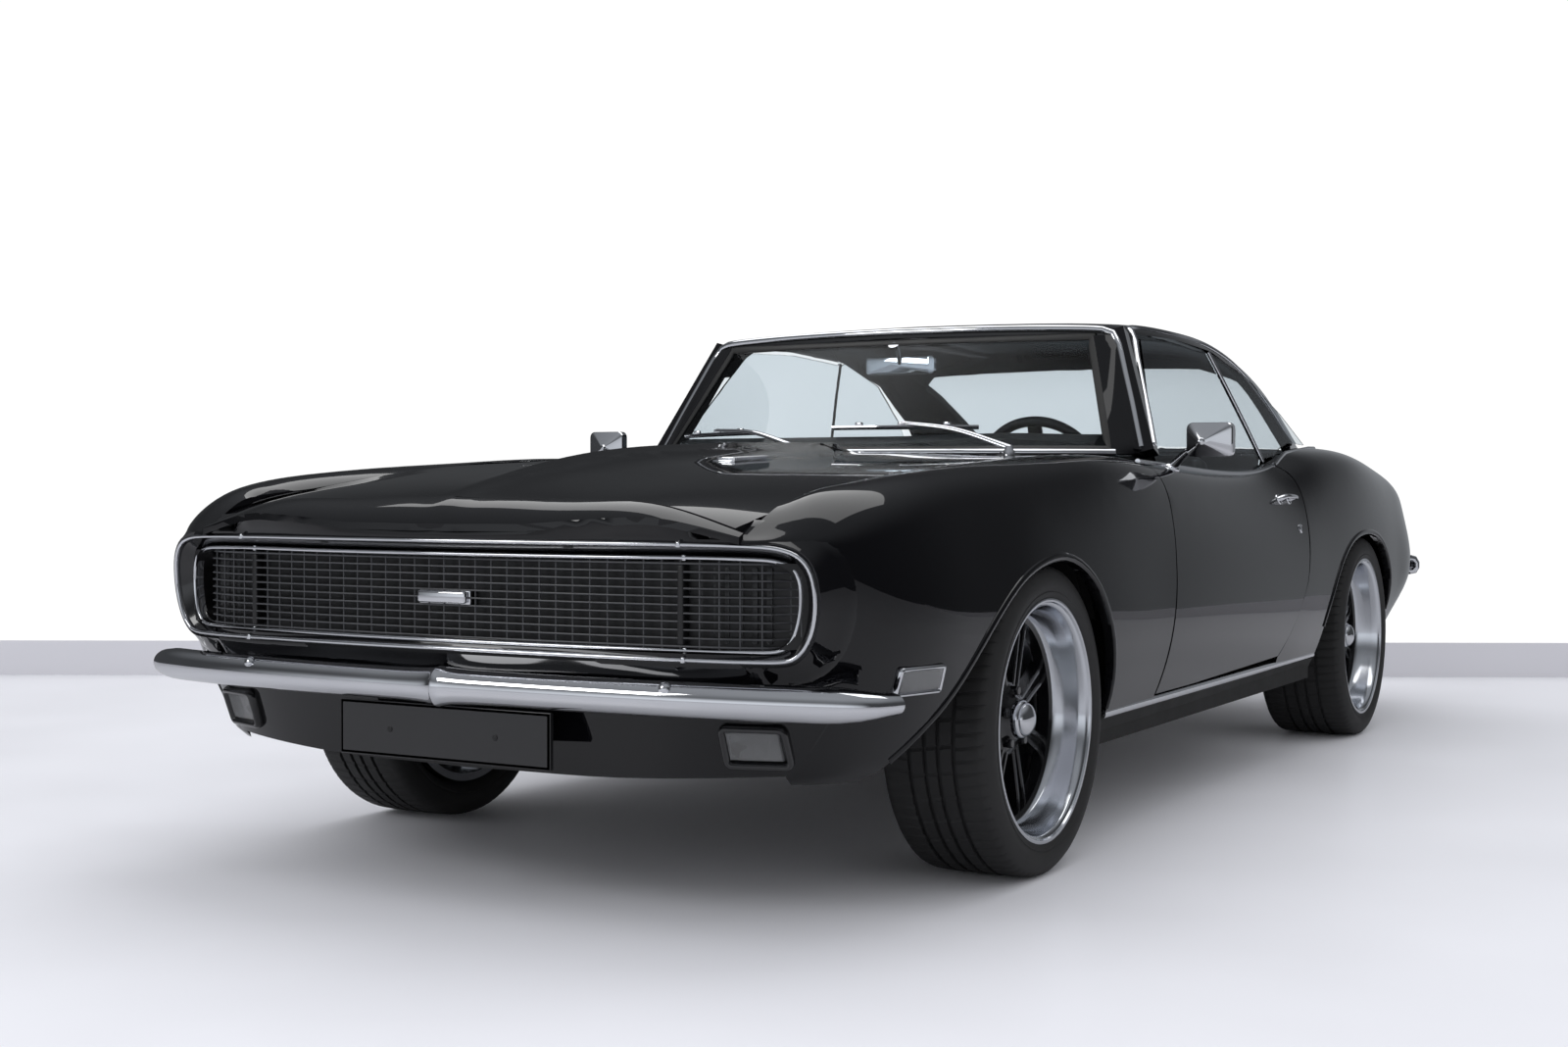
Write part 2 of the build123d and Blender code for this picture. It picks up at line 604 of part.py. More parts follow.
def build_valance():
    """Painted panel under the front bumper, with the nose panel above it behind the bumper."""
    half = sheet(skin_face(0, 5, 0, 3), HEADER_T, (-0.3, 1, 0.2))
    nose = block((0, 660 - SEAT_GAP), (-2400, -2150), (390, 519 - SEAT_GAP))
    half = half & (block((0, 1000), (-2400, -2150 - SEAT_GAP), (200, 400)) + nose)
    half = half - block((374, 426), (-2400, -2200), (409, 456))
    return biggest(half + mirrored(half))


def lamp_on_skin(first, last, box, direction, depth=8):
    """Lamp that stands a little proud of the skin."""
    face = skin_face(first, last, 0, 5, SEAT_GAP + depth)
    return biggest(extrude(face, depth, dir=direction) & box)


def build_door_hardware(door):
    """Left door mirror and pull handle, each seated on the door."""
    head = Pos(930, -445, 942) * Box(120, 55, 88)
    stalk = rod((796, -372, 870), (905, -440, 930), 9)
    grip = block((880, 898), (388, 512), (777, 795))
    for y in (400, 500):
        grip = grip + rod((840, y, 786), (882, y, 786), 8)
    return [biggest(head + stalk - door), biggest(grip - door)]


# ---------------------------------------------------------------- underbody
def post_under(x, y, z, over, radius=9):
    """Round post from a base up to just under a panel."""
    post = rod((x, y, z), (x, y, z + 200), radius) - Pos(0, 0, -SEAT_GAP) * over
    return min(post.solids(), key=lambda solid: solid.center().Z)


def build_floor(cowl):
    """Panels under the cabin: both floors, tunnel, firewall, and both sills with their pillars."""
    hollow = block((-150, 150), (-760, 790), (FLOOR_Z - 1, 450))
    sill_skin = sheet(skin_face(7, 12, 0, 2), SKIN_DEPTH, (-1, 0, 0.3))
    sill_skin = sill_skin & block((700, 1000), (-1056, 798), (230, SILL_TOP_Z - 12))
    side = biggest(block((700, 860), (-1030, 770), (FLOOR_Z + 20, SILL_TOP_Z - 12)) + sill_skin)
    side = side + block((700, 760), (-700, -640), (FLOOR_Z, 850))
    side = side + block((700, 712), (640, 920), (FLOOR_Z, 840))
    side = side + block((800, 830), (-560, 330), (SILL_TOP_Z - 20, DOOR_LOW_Z - SEAT_GAP))
    floor = block((170, 700), (-690, 740), (FLOOR_Z, FLOOR_Z + 24))
    tunnel = block((-170, 170), (-690, 740), (FLOOR_Z, 470)) - hollow
    post = post_under(600, -705, 855, cowl)
    firewall = block((-700, 700), (-720, -690), (FLOOR_Z, 860)) - hollow + post + mirrored(post)
    return [biggest(side), mirrored(biggest(side)), floor, mirrored(floor), tunnel, biggest(firewall)]


def build_boot(filler, lid):
    """Panels round the boot: kick panel, boot floor over the axle, seat back panel and rear shelf."""
    wide = 600 - SEAT_GAP
    kick = block((-700, 700), (740, 780), (FLOOR_Z, 420)) - block((-150, 150), (700, 790), (FLOOR_Z - 1, 450))
    front = block((-wide, wide), (780, 1114), (400, 420))
    hump = side_prism([(1114, 400), (1120, 400), (1190, 474), (1480, 474), (1560, 402), (1566, 402),
                       (1566, 420), (1486, 492), (1184, 492), (1114, 420)], -wide, wide)
    rear = block((-wide, wide), (1566, 2180), (402, 420))
    back = block((-590, 590), (1190, 1205), (492, 860))
    shelf = block((-590, 590), (1190, 1700), (860, 876))
    for post in (post_under(480, 1606, 870, filler), post_under(480, 1672, 870, lid)):
        shelf = shelf + post + mirrored(post)
    return [kick, front, hump, rear, back, biggest(shelf)]


def build_wheelhouse(axle_y, x_inner, x_outer, radius, low, panel):
    """Arched inner panel over one wheel, with a tab out to the body panel."""
    arch = x_ring(x_inner, x_outer, axle_y, AXLE_Z, radius + 12, radius)
    wall = x_ring(x_inner, x_inner + 12, axle_y, AXLE_Z, radius + 12, 0)
    tab = block((x_outer - 20, 930), (axle_y - 40, axle_y + 40),
                (AXLE_Z + radius + 2, AXLE_Z + radius + 11)) - panel
    house = (arch + wall) & block((0, 1000), (axle_y - 600, axle_y + 600), (low, 900))
    return house + min(tab.solids(), key=lambda solid: solid.center().X)


def build_subframe(hood):
    """Front frame rails with crossmember, arms and radiator support."""
    rail = bent_rod([(400, -2180, 330), (400, -1750, 330), (400, -1600, 250),
                     (400, -720 - SEAT_GAP, 250)], 38, 60)

    def arm(x, z, length, height):
        plane = Plane(origin=(x, FRONT_AXLE_Y, z), x_dir=(0, 1, 0), z_dir=(1, 0, 0))
        return plane * Rectangle(length, height)

    end = STEER_AXIS_X - KNUCKLE_R - FIT
    arm_low = loft([arm(430, 250, 260, 30), arm(end, 240, 60, 24)])
    arm_high = loft([arm(430, 470, 200, 26), arm(end, 425, 50, 22)])
    tower = block((380, 440), (FRONT_AXLE_Y - 110, FRONT_AXLE_Y + 110), (240, 500))
    stop = post_under(380, -2175, 690, hood)
    side = rail + arm_low + arm_high + tower + stop
    cross = block((-400, 400), (FRONT_AXLE_Y - 70, FRONT_AXLE_Y + 70), (190, 280))
    support = block((-440, 440), (-2190, -2160), (300, 700)) - block((-380, 380), (-2200, -2150), (360, 640))
    core = block((-381, 381), (-2180, -2165), (359, 641))
    return biggest(side + mirrored(side) + cross + support + core)


def build_knuckle():
    """Left steering knuckle with its stub axle and brake caliper."""
    post = rod((STEER_AXIS_X, FRONT_AXLE_Y, 222), (STEER_AXIS_X, FRONT_AXLE_Y, 444), KNUCKLE_R)
    stub = rod((705, FRONT_AXLE_Y, AXLE_Z), (AXLE_END, FRONT_AXLE_Y, AXLE_Z), AXLE_R)
    caliper = block((690, 748), (FRONT_AXLE_Y + 90, FRONT_AXLE_Y + 150), (280, 400))
    arm = block((690, 710), (FRONT_AXLE_Y, FRONT_AXLE_Y + 120), (300, 360))
    return post + stub + caliper + arm


def build_rear_axle():
    """Live rear axle with its differential and stub ends."""
    tube = rod((-752, REAR_AXLE_Y, AXLE_Z), (752, REAR_AXLE_Y, AXLE_Z), 38)
    ends = rod((-AXLE_END, REAR_AXLE_Y, AXLE_Z), (AXLE_END, REAR_AXLE_Y, AXLE_Z), AXLE_R)
    case = Pos(0, REAR_AXLE_Y, AXLE_Z) * Sphere(125)
    nose = rod((0, REAR_AXLE_Y - 201 + SEAT_GAP, AXLE_Z), (0, REAR_AXLE_Y, AXLE_Z), 50)
    return tube + ends + case + nose


def build_spring():
    """Left leaf spring, bowed under the axle, with its rear shackle."""
    low = AXLE_Z - 38 - 26 - SEAT_GAP
    front = 780 + SEAT_GAP
    arc = ThreePointArc((front, low + 50), (REAR_AXLE_Y, low), (1900, low + 60))
    leaf = extrude(Plane.YZ.offset(490) * make_face(
        Wire([*arc.edges(), *Polyline((1900, low + 60), (1900, low + 78)).edges(),
              *ThreePointArc((1900, low + 78), (REAR_AXLE_Y, low + 26), (front, low + 68)).edges(),
              *Polyline((front, low + 68), (front, low + 50)).edges()])), 60)
    return leaf + block((490, 550), (1880, 1900), (low + 62, 402 - SEAT_GAP))


def build_exhaust():
    """One side of the twin exhaust, from the engine to its tailpipe."""
    pipe = bent_rod([(200, -900, 175), (200, 1250, 172), (420, 1560, 200), (420, 2290, 200)], 29, 90)
    muffler = block((362, 478), (1680, 2040), (155, 262))
    hanger = rod((200, 600, 175), (200, 600, FLOOR_Z - SEAT_GAP), 7)
    return pipe + muffler + hanger - rod((420, 2170, 200), (420, 2300, 200), 25)


# ---------------------------------------------------------------- cabin
def build_seat():
    """Left front bucket seat."""
    cushion = block((185, 645), (-190, 300), (FLOOR_Z + 24 + SEAT_GAP, 420))
    back = Pos(415, 380, 640) * Rot(-14, 0, 0) * Box(450, 110, 560)
    return cushion + back


def build_rear_seat():
    """Rear bench."""
    cushion = block((-580, 580), (785, 1110), (420 + SEAT_GAP, 545))
    back = Pos(0, 1085, 690) * Rot(-14, 0, 0) * Box(1150, 90, 360)
    return biggest(cushion + back)


def build_dashboard():
    """Dashboard roll across the cabin."""
    profile = make_face(Polyline((-690 + SEAT_GAP, 650), (-690 + SEAT_GAP, 850), (-560, 868), (-430, 862), (-396, 830),
                                 (-420, 760), (-450, 640), close=True))
    return extrude(Plane.YZ.offset(-670) * profile, 1340)


def build_steering(dash):
    """Steering column and wheel."""
    centre, tilt = (370, -190, 830), 62
    plane = Plane(origin=centre, z_dir=(0, -cos(radians(90 - tilt)), -sin(radians(90 - tilt)) * 0.6))
    ring = plane * (Pos(0, 0, 0) * Torus(180, 14))
    column = rod((370, -470, 740), centre, 24) - dash
    spokes = plane * (Box(350, 40, 8) + Cylinder(45, 30))
    return ring + spokes + max(column.solids(), key=lambda solid: solid.center().Y)


fender = build_fender()
quarter = build_quarter()
roof = build_roof(quarter)
door = build_door()
glass = side_glass(DOOR_GLASS)
quarter_glass = side_glass([(y, z - 0.5) for y, z in SIDE_WINDOW[3:7]] + QUARTER_GLASS_LOW)
hardware = build_door_hardware(door)
knuckle = build_knuckle()
for side, flip in (("left", lambda shape: shape), ("right", mirrored)):
    save(f"fender_{side}", flip(fender))
    save(f"quarter_{side}", flip(quarter))
    save(f"door_{side}", flip(door))
    save(f"door_glass_{side}", flip(glass))
    save(f"door_hardware_{side}", [flip(solid) for solid in hardware])
    save(f"knuckle_{side}", flip(knuckle))
for corner, rim_x, width, axle_y in (("front", FRONT_RIM_X, FRONT_TYRE_W, FRONT_AXLE_Y),
                                     ("rear", REAR_RIM_X, REAR_TYRE_W, REAR_AXLE_Y)):
    place = Pos(0, axle_y, AXLE_Z)
    tyre = place * turned(build_tyre(rim_x, width))
    rim = place * build_rim(rim_x, width)
    save(f"tyre_{corner}_left", tyre)
    save(f"tyre_{corner}_right", mirrored(tyre))
    save(f"rim_{corner}_left", rim)
    save(f"rim_{corner}_right", mirrored(rim))
save("quarter_glass", [quarter_glass, mirrored(quarter_glass)])
hood = build_hood()
save("hood", hood)
save("header_panel", build_header())
windshield = glass_between(WINDSHIELD_LOW, WINDSHIELD_HIGH, 703, 572, WINDSHIELD_BOW, (0, 0.6, -0.8))
windshield = biggest(windshield - Pos(0, 0, -SEAT_GAP) * roof)
save("windshield", windshield)
cowl = build_cowl(windshield)
save("cowl_panel", cowl)
lid = build_decklid()
save("decklid", lid)
filler = build_filler()
save("deck_filler", filler)
tail = build_tail()
save("tail_panel", tail)
save("roof", roof)
save("rear_window", build_rear_window())
save("floor_pan", build_floor(cowl))
save("boot_floor", build_boot(filler, lid))
wheelhouses = [build_wheelhouse(FRONT_AXLE_Y, 462, 850, 420, 520, fender),
               build_wheelhouse(REAR_AXLE_Y, 600, 812, 380, 420, quarter)]
save("wheelhouses", [biggest(panel) for panel in wheelhouses]
     + [mirrored(biggest(panel)) for panel in wheelhouses])
save("front_subframe", build_subframe(hood))
save("engine_block", block((-240, 240), (-1590, -890 - SEAT_GAP), (280 + SEAT_GAP, 760)))
save("rear_axle", build_rear_axle())
spring = build_spring()
save("rear_springs", [spring, mirrored(spring)])
gearbox = Plane(origin=(0, -890, 335), z_dir=(0, 1, 0)) * Pos(0, 0, 320) * Cone(112, 70, 640)
save("driveline", gearbox + rod((0, -251, 335), (0, REAR_AXLE_Y - 201, AXLE_Z), 38))
exhaust = build_exhaust()
save("exhaust", [exhaust, mirrored(exhaust)])
save("fuel_tank", block((-350, 350), (1560, 2060), (240, 402 - SEAT_GAP)))
seat = build_seat()
save("front_seats", [seat, mirrored(seat)])
save("rear_seat", build_rear_seat())
dash = build_dashboard()
save("dashboard", dash)
save("steering_wheel", build_steering(dash))
save("grille_surround", build_surround())
save("grille", build_grille())
save("front_bumper", build_front_bumper())
save("rear_bumper", build_rear_bumper(tail))
valance = build_valance()
save("front_valance", valance)
park = lamp_on_skin(0, 5, block((592, 684), (-2400, -2100), (322, 374)), (-0.3, 1, 0))
marker = lamp_on_skin(3, 9, block((800, 1000), (-2058, -1950), (446, 484)), (-1, 0.5, 0))
save("front_lamps", [park, mirrored(park), marker, mirrored(marker)])
tail_lamp = lamp_on_skin(16, 18, block((300, 560), (2200, 2400), (680, 760)), (0, -1, 0))
save("tail_lamps", [tail_lamp, mirrored(tail_lamp)])
plate = block((-260, 260), (-2306, -2298), (290, 396))
for x in (-140, 120):
    bracket = block((x, x + 20), (-2299, -2200), (330, 350)) - valance
    plate = plate + min(bracket.solids(), key=lambda solid: solid.center().Y)
save("front_plate", plate)
stalk = rod((0, -322, 1190), (0, -420, 1190), 8) - windshield
stalk = max(stalk.solids(), key=lambda solid: solid.center().Y)
save("inner_mirror", block((-110, 110), (-330, -314), (1160, 1215)) + stalk)
wipers = []
for start, end in (((330, -735), (60, -768)), ((-110, -770), (-372, -722))):
    wiper = rod((*start, 880), (*start, 948), 9) + rod((*start, 945), (*end, 948), 6) - cowl
    wipers.append(max(wiper.solids(), key=lambda solid: solid.center().Z))
save("wipers", wipers)
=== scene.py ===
"""Studio scene of a two-door coupe of the late 1960s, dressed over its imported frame."""

from __future__ import annotations

import json
import logging
import math
from dataclasses import dataclass, field
from enum import Enum
from typing import Callable, Iterable, Sequence

import bmesh
import bpy
import numpy as np
from mathutils import Matrix, Vector
from mathutils.bvhtree import BVHTree

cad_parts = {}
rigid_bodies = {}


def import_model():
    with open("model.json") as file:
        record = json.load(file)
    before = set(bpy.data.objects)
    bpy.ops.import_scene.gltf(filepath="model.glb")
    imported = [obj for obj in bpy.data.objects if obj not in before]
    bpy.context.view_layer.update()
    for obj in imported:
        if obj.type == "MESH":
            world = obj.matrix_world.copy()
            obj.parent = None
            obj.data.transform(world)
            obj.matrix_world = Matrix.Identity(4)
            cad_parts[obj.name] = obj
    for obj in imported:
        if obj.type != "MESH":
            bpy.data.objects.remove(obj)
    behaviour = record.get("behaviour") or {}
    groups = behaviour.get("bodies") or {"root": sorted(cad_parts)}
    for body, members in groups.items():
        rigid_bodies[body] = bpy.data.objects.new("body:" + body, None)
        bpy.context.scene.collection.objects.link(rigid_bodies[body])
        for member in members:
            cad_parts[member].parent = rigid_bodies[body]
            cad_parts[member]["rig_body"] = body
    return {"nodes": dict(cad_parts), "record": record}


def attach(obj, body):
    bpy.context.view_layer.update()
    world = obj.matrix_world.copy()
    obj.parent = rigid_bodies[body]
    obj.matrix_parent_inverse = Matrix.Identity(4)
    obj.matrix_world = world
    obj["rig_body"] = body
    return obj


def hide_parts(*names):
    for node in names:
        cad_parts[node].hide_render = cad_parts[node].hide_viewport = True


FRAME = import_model()
LOG = logging.getLogger("coupe")
Point = tuple[float, float, float]
Pair = tuple[float, float]
Spot = tuple[Vector, Vector]

SHELL = ("shell", "shell")
DOORS = ("door_left", "door_right")
FRONT_AXLE = (0.0, -1.410, 0.329)
REAR_AXLE = (0.0, 1.333, 0.329)
MERGE = 1e-6
CAD_MERGE = 2e-6
QUADRIC_REACH = 3
QUADRIC_POINTS = 7
QUADRIC_TRUST = 0.9


# ------------------------------------------------------------------ finishes
class Kind(Enum):
    """How a finish varies over a surface."""

    PLAIN = "plain"
    BRUSHED = "brushed"
    LEATHER = "leather"
    RIBBED = "ribbed"


@dataclass(frozen=True)
class Finish:
    """One procedural finish.

    Args:
        name: Material name.
        colour: Linear base colour.
        metallic: Metallic share.
        roughness: Middle roughness.
        spread: How far the roughness wanders.
        tint: How far the colour wanders, as a share.
        scale: Scale of the wandering, per metre.
        bump: Bump strength.
        bump_scale: Scale of the bump, per metre.
        coat: Clear coat weight.
        clear: Transmission weight.
        ior: Index of refraction.
        specular: Share of the plain surface's own reflection.
        kind: How the surface varies.
    """

    name: str
    colour: Point
    metallic: float = 0.0
    roughness: float = 0.5
    spread: float = 0.06
    tint: float = 0.12
    scale: float = 6.0
    bump: float = 0.0
    bump_scale: float = 400.0
    coat: float = 0.0
    clear: float = 0.0
    ior: float = 1.5
    specular: float = 0.5
    kind: Kind = Kind.PLAIN

    def build(self) -> bpy.types.Material:
        """Make the material's nodes.

        Returns:
            The new material.
        """
        material = bpy.data.materials.new(self.name)
        material.use_nodes = True
        nodes, links = material.node_tree.nodes, material.node_tree.links
        shader = nodes["Principled BSDF"]
        shader.inputs["Metallic"].default_value = self.metallic
        shader.inputs["Coat Weight"].default_value = self.coat
        shader.inputs["Coat Roughness"].default_value = 0.015
        shader.inputs["Transmission Weight"].default_value = self.clear
        shader.inputs["IOR"].default_value = self.ior
        shader.inputs["Specular IOR Level"].default_value = self.specular
        place = nodes.new("ShaderNodeTexCoord")
        cloud = nodes.new("ShaderNodeTexNoise")
        cloud.inputs["Scale"].default_value = self.scale
        cloud.inputs["Detail"].default_value = 5.0
        links.new(place.outputs["Object"], cloud.inputs["Vector"])
        tone = nodes.new("ShaderNodeMix")
        tone.data_type = "RGBA"
        low = [c * (1 - self.tint) for c in self.colour]
        high = [min(1.0, c * (1 + self.tint)) for c in self.colour]
        tone.inputs[6].default_value = (*low, 1)
        tone.inputs[7].default_value = (*high, 1)
        links.new(cloud.outputs["Fac"], tone.inputs[0])
        links.new(tone.outputs[2], shader.inputs["Base Color"])
        gloss = nodes.new("ShaderNodeMapRange")
        gloss.inputs["To Min"].default_value = max(0.0, self.roughness - self.spread)
        gloss.inputs["To Max"].default_value = min(1.0, self.roughness + self.spread)
        links.new(cloud.outputs["Fac"], gloss.inputs["Value"])
        links.new(gloss.outputs["Result"], shader.inputs["Roughness"])
        if self.bump:
            self._add_bump(nodes, links, place, shader)
        return material

    def _add_bump(self, nodes, links, place, shader) -> None:
        """Add the small relief of the surface.

        Args:
            nodes: The material's nodes.
            links: The material's links.
            place: The coordinate node.
            shader: The shader node.
        """
        if self.kind is Kind.LEATHER:
            grain = nodes.new("ShaderNodeTexVoronoi")
            height = grain.outputs["Distance"]
        elif self.kind is Kind.RIBBED:
            grain = nodes.new("ShaderNodeTexWave")
            height = grain.outputs["Fac"]
        else:
            grain = nodes.new("ShaderNodeTexNoise")
            grain.inputs["Detail"].default_value = 3.0
            height = grain.outputs["Fac"]
        grain.inputs["Scale"].default_value = self.bump_scale
        vector = place.outputs["Object"]
        if self.kind is Kind.BRUSHED:
            stretch = nodes.new("ShaderNodeMapping")
            stretch.inputs["Scale"].default_value = (1.0, 0.05, 0.05)
            links.new(vector, stretch.inputs["Vector"])
            vector = stretch.outputs["Vector"]
        links.new(vector, grain.inputs["Vector"])
        bump = nodes.new("ShaderNodeBump")
        bump.inputs["Strength"].default_value = self.bump
        bump.inputs["Distance"].default_value = 0.0008
        links.new(height, bump.inputs["Height"])
        links.new(bump.outputs["Normal"], shader.inputs["Normal"])


@dataclass(frozen=True)
class StudioFinish(Finish):
    """Finish of the studio, paler to the camera than to other rays.

    Args:
        unseen: Share of the colour that other rays meet.
    """

    unseen: float = 0.55

    def build(self) -> bpy.types.Material:
        """Make the material's nodes.

        Returns:
            The new material.
        """
        material = super().build()
        nodes, links = material.node_tree.nodes, material.node_tree.links
        shader = nodes["Principled BSDF"]
        seen = shader.inputs["Base Color"].links[0].from_socket
        path = nodes.new("ShaderNodeLightPath")
        share = nodes.new("ShaderNodeMapRange")
        share.inputs["To Min"].default_value = self.unseen
        share.inputs["To Max"].default_value = 1.0
        links.new(path.outputs["Is Camera Ray"], share.inputs["Value"])
        scaled = nodes.new("ShaderNodeVectorMath")
        scaled.operation = "SCALE"
        links.new(seen, scaled.inputs["Vector"])
        links.new(share.outputs["Result"], scaled.inputs["Scale"])
        links.new(scaled.outputs["Vector"], shader.inputs["Base Color"])
        return material


PAINT = Finish("paint_black", (0.0022, 0.0022, 0.0030), roughness=0.10, spread=0.03, coat=1.0, tint=0.3,
               scale=2.5, specular=0.02)
CHROME = Finish("chrome", (0.80, 0.81, 0.84), metallic=1.0, roughness=0.055, spread=0.035, tint=0.04,
                scale=9.0)
ALLOY = Finish("polished_alloy", (0.72, 0.74, 0.78), metallic=1.0, roughness=0.14, spread=0.05, tint=0.06,
               scale=14.0, bump=0.02, bump_scale=900.0)
GLOSS_BLACK = Finish("gloss_black", (0.004, 0.004, 0.005), roughness=0.16, spread=0.05, coat=0.7,
                     tint=0.25, scale=20.0)
SATIN_BLACK = Finish("satin_black", (0.007, 0.007, 0.008), roughness=0.42, spread=0.08, tint=0.25,
                     scale=30.0, bump=0.05, bump_scale=700.0)
UNDERBODY = Finish("underbody_coat", (0.012, 0.012, 0.012), roughness=0.72, spread=0.12, tint=0.35,
                   scale=12.0, bump=0.35, bump_scale=260.0)
CAST = Finish("cast_metal", (0.16, 0.16, 0.165), metallic=0.85, roughness=0.5, spread=0.12, tint=0.3,
              scale=22.0, bump=0.3, bump_scale=320.0)
STEEL = Finish("pipe_steel", (0.34, 0.33, 0.31), metallic=1.0, roughness=0.36, spread=0.12, tint=0.2,
               scale=16.0, bump=0.05, bump_scale=500.0)
RUBBER = Finish("tyre_rubber", (0.018, 0.018, 0.019), roughness=0.62, spread=0.1, tint=0.3, scale=18.0,
                bump=0.12, bump_scale=900.0)
SEAL = Finish("rubber_seal", (0.010, 0.010, 0.010), roughness=0.5, spread=0.08, tint=0.2, scale=40.0,
              bump=0.05, bump_scale=900.0)
VINYL = Finish("seat_vinyl", (0.014, 0.013, 0.013), roughness=0.42, spread=0.08, tint=0.3, scale=14.0,
               bump=0.35, bump_scale=700.0, kind=Kind.LEATHER)
TRIM = Finish("cabin_plastic", (0.016, 0.016, 0.017), roughness=0.5, spread=0.08, tint=0.25, scale=20.0,
              bump=0.2, bump_scale=900.0, kind=Kind.LEATHER)
GLASS = Finish("window_glass", (0.76, 0.81, 0.84), roughness=0.0, spread=0.004, tint=0.02, scale=2.0,
               clear=1.0, ior=1.12)
LAMP_CLEAR = Finish("lamp_clear", (0.75, 0.76, 0.78), roughness=0.08, spread=0.03, tint=0.05, scale=60.0,
                    clear=0.85, ior=1.45, bump=0.4, bump_scale=300.0, kind=Kind.RIBBED)
LAMP_RED = Finish("lamp_red", (0.45, 0.01, 0.01), roughness=0.12, spread=0.04, tint=0.15, scale=60.0,
                  clear=0.3, ior=1.45, bump=0.5, bump_scale=260.0, kind=Kind.RIBBED)
GRID_GREY = Finish("grid_grey", (0.050, 0.052, 0.058), roughness=0.38, spread=0.08, tint=0.2, scale=30.0)
RIB_BLACK = Finish("cover_rib_black", (0.030, 0.031, 0.034), roughness=0.34, spread=0.08, tint=0.2,
                   scale=30.0)
PLATE = Finish("plate_black", (0.007, 0.007, 0.008), roughness=0.22, spread=0.06, tint=0.3, scale=12.0,
               coat=0.5)
MIRROR = Finish("mirror_silver", (0.86, 0.87, 0.88), metallic=1.0, roughness=0.02, spread=0.01, tint=0.02,
                scale=12.0)
FLOOR = StudioFinish("studio_floor", (0.80, 0.81, 0.87), roughness=0.34, spread=0.12, tint=0.05, scale=0.9,
               bump=0.02, bump_scale=30.0, specular=0.25)
KERB = StudioFinish("studio_kerb", (0.70, 0.70, 0.76), roughness=0.7, spread=0.1, tint=0.03, scale=0.9)

SLOT_FINISH = {
    "body_paint": PAINT, "bright_chrome": CHROME, "glass": GLASS, "black_plastic": SATIN_BLACK,
    "lamp_clear": LAMP_CLEAR, "lamp_red": LAMP_RED, "underbody": UNDERBODY, "cast_metal": CAST,
    "steel_pipe": STEEL, "seat_vinyl": VINYL, "tyre": RUBBER, "rim": GLOSS_BLACK,
}


class Palette:
    """Builds each finish once and hands it out."""

    def __init__(self) -> None:
        self._made: dict[str, bpy.types.Material] = {}

    def get(self, finish: Finish) -> bpy.types.Material:
        """Give the material of a finish.

        Args:
            finish: The finish wanted.

        Returns:
            Its material.
        """
        if finish.name not in self._made:
            self._made[finish.name] = finish.build()
        return self._made[finish.name]


PALETTE = Palette()


# ------------------------------------------------------------------ mesh tools
def linked(name: str, mesh: bmesh.types.BMesh, finish: Finish) -> bpy.types.Object:
    """Turn a bmesh into an object of the scene.

    Args:
        name: Object name.
        mesh: The bmesh, which is freed.
        finish: Its finish.

    Returns:
        The new object.
    """
    data = bpy.data.meshes.new(name)
    mesh.to_mesh(data)
    mesh.free()
    data.materials.append(PALETTE.get(finish))
    piece = bpy.data.objects.new(name, data)
    bpy.context.scene.collection.objects.link(piece)
    return piece


def new_object(name: str, mesh: bmesh.types.BMesh, finish: Finish, body: str,
               smooth: float = 30.0) -> bpy.types.Object:
    """Turn a bmesh into a piece that rides on a body.

    Args:
        name: Piece name.
        mesh: The bmesh, which is freed.
        finish: Its finish.
        body: The body it rides on.
        smooth: Angle below which edges shade smooth, in degrees.

    Returns:
        The new object.
    """
    bmesh.ops.remove_doubles(mesh, verts=mesh.verts, dist=MERGE)
    bmesh.ops.recalc_face_normals(mesh, faces=mesh.faces)
    limit = math.radians(smooth)
    for edge in mesh.edges:
        edge.smooth = len(edge.link_faces) == 2 and edge.calc_face_angle(0.0) < limit
    for face in mesh.faces:
        face.smooth = True
    piece = linked(name, mesh, finish)
    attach(piece, body)
    return piece


def fitted_normals(points: np.ndarray, rings: list[np.ndarray], guesses: np.ndarray) -> np.ndarray:
    """Surface normals from a small quadric fitted round each point.

    Args:
        points: All points.
        rings: For each wanted point, the indices near it, itself first.
        guesses: A rough normal for each wanted point.

    Returns:
        One unit normal for each wanted point.
    """
    result = guesses.copy()
    for i, ring in enumerate(rings):
        if len(ring) < QUADRIC_POINTS:
            continue
        normal = guesses[i]
        helper = np.array((1.0, 0, 0)) if abs(normal[0]) < 0.8 else np.array((0, 1.0, 0))
        a = np.cross(normal, helper)
        a /= np.linalg.norm(a)
        b = np.cross(normal, a)
        offsets = points[ring] - points[ring[0]]
        x, y, z = offsets @ a, offsets @ b, offsets @ normal
        reach = max(np.abs(x).max(), np.abs(y).max(), 1e-6)
        x, y, z = x / reach, y / reach, z / reach
        weights = np.exp(-1.5 * (x * x + y * y))
        table = np.column_stack((x, y, x * x, x * y, y * y, np.ones_like(x)))
        solved, *_ = np.linalg.lstsq(table * weights[:, None], z * weights, rcond=1e-4)
        fitted = normal - solved[0] * a - solved[1] * b
        fitted /= np.linalg.norm(fitted)
        if fitted @ normal > QUADRIC_TRUST:
            result[i] = fitted
    return result


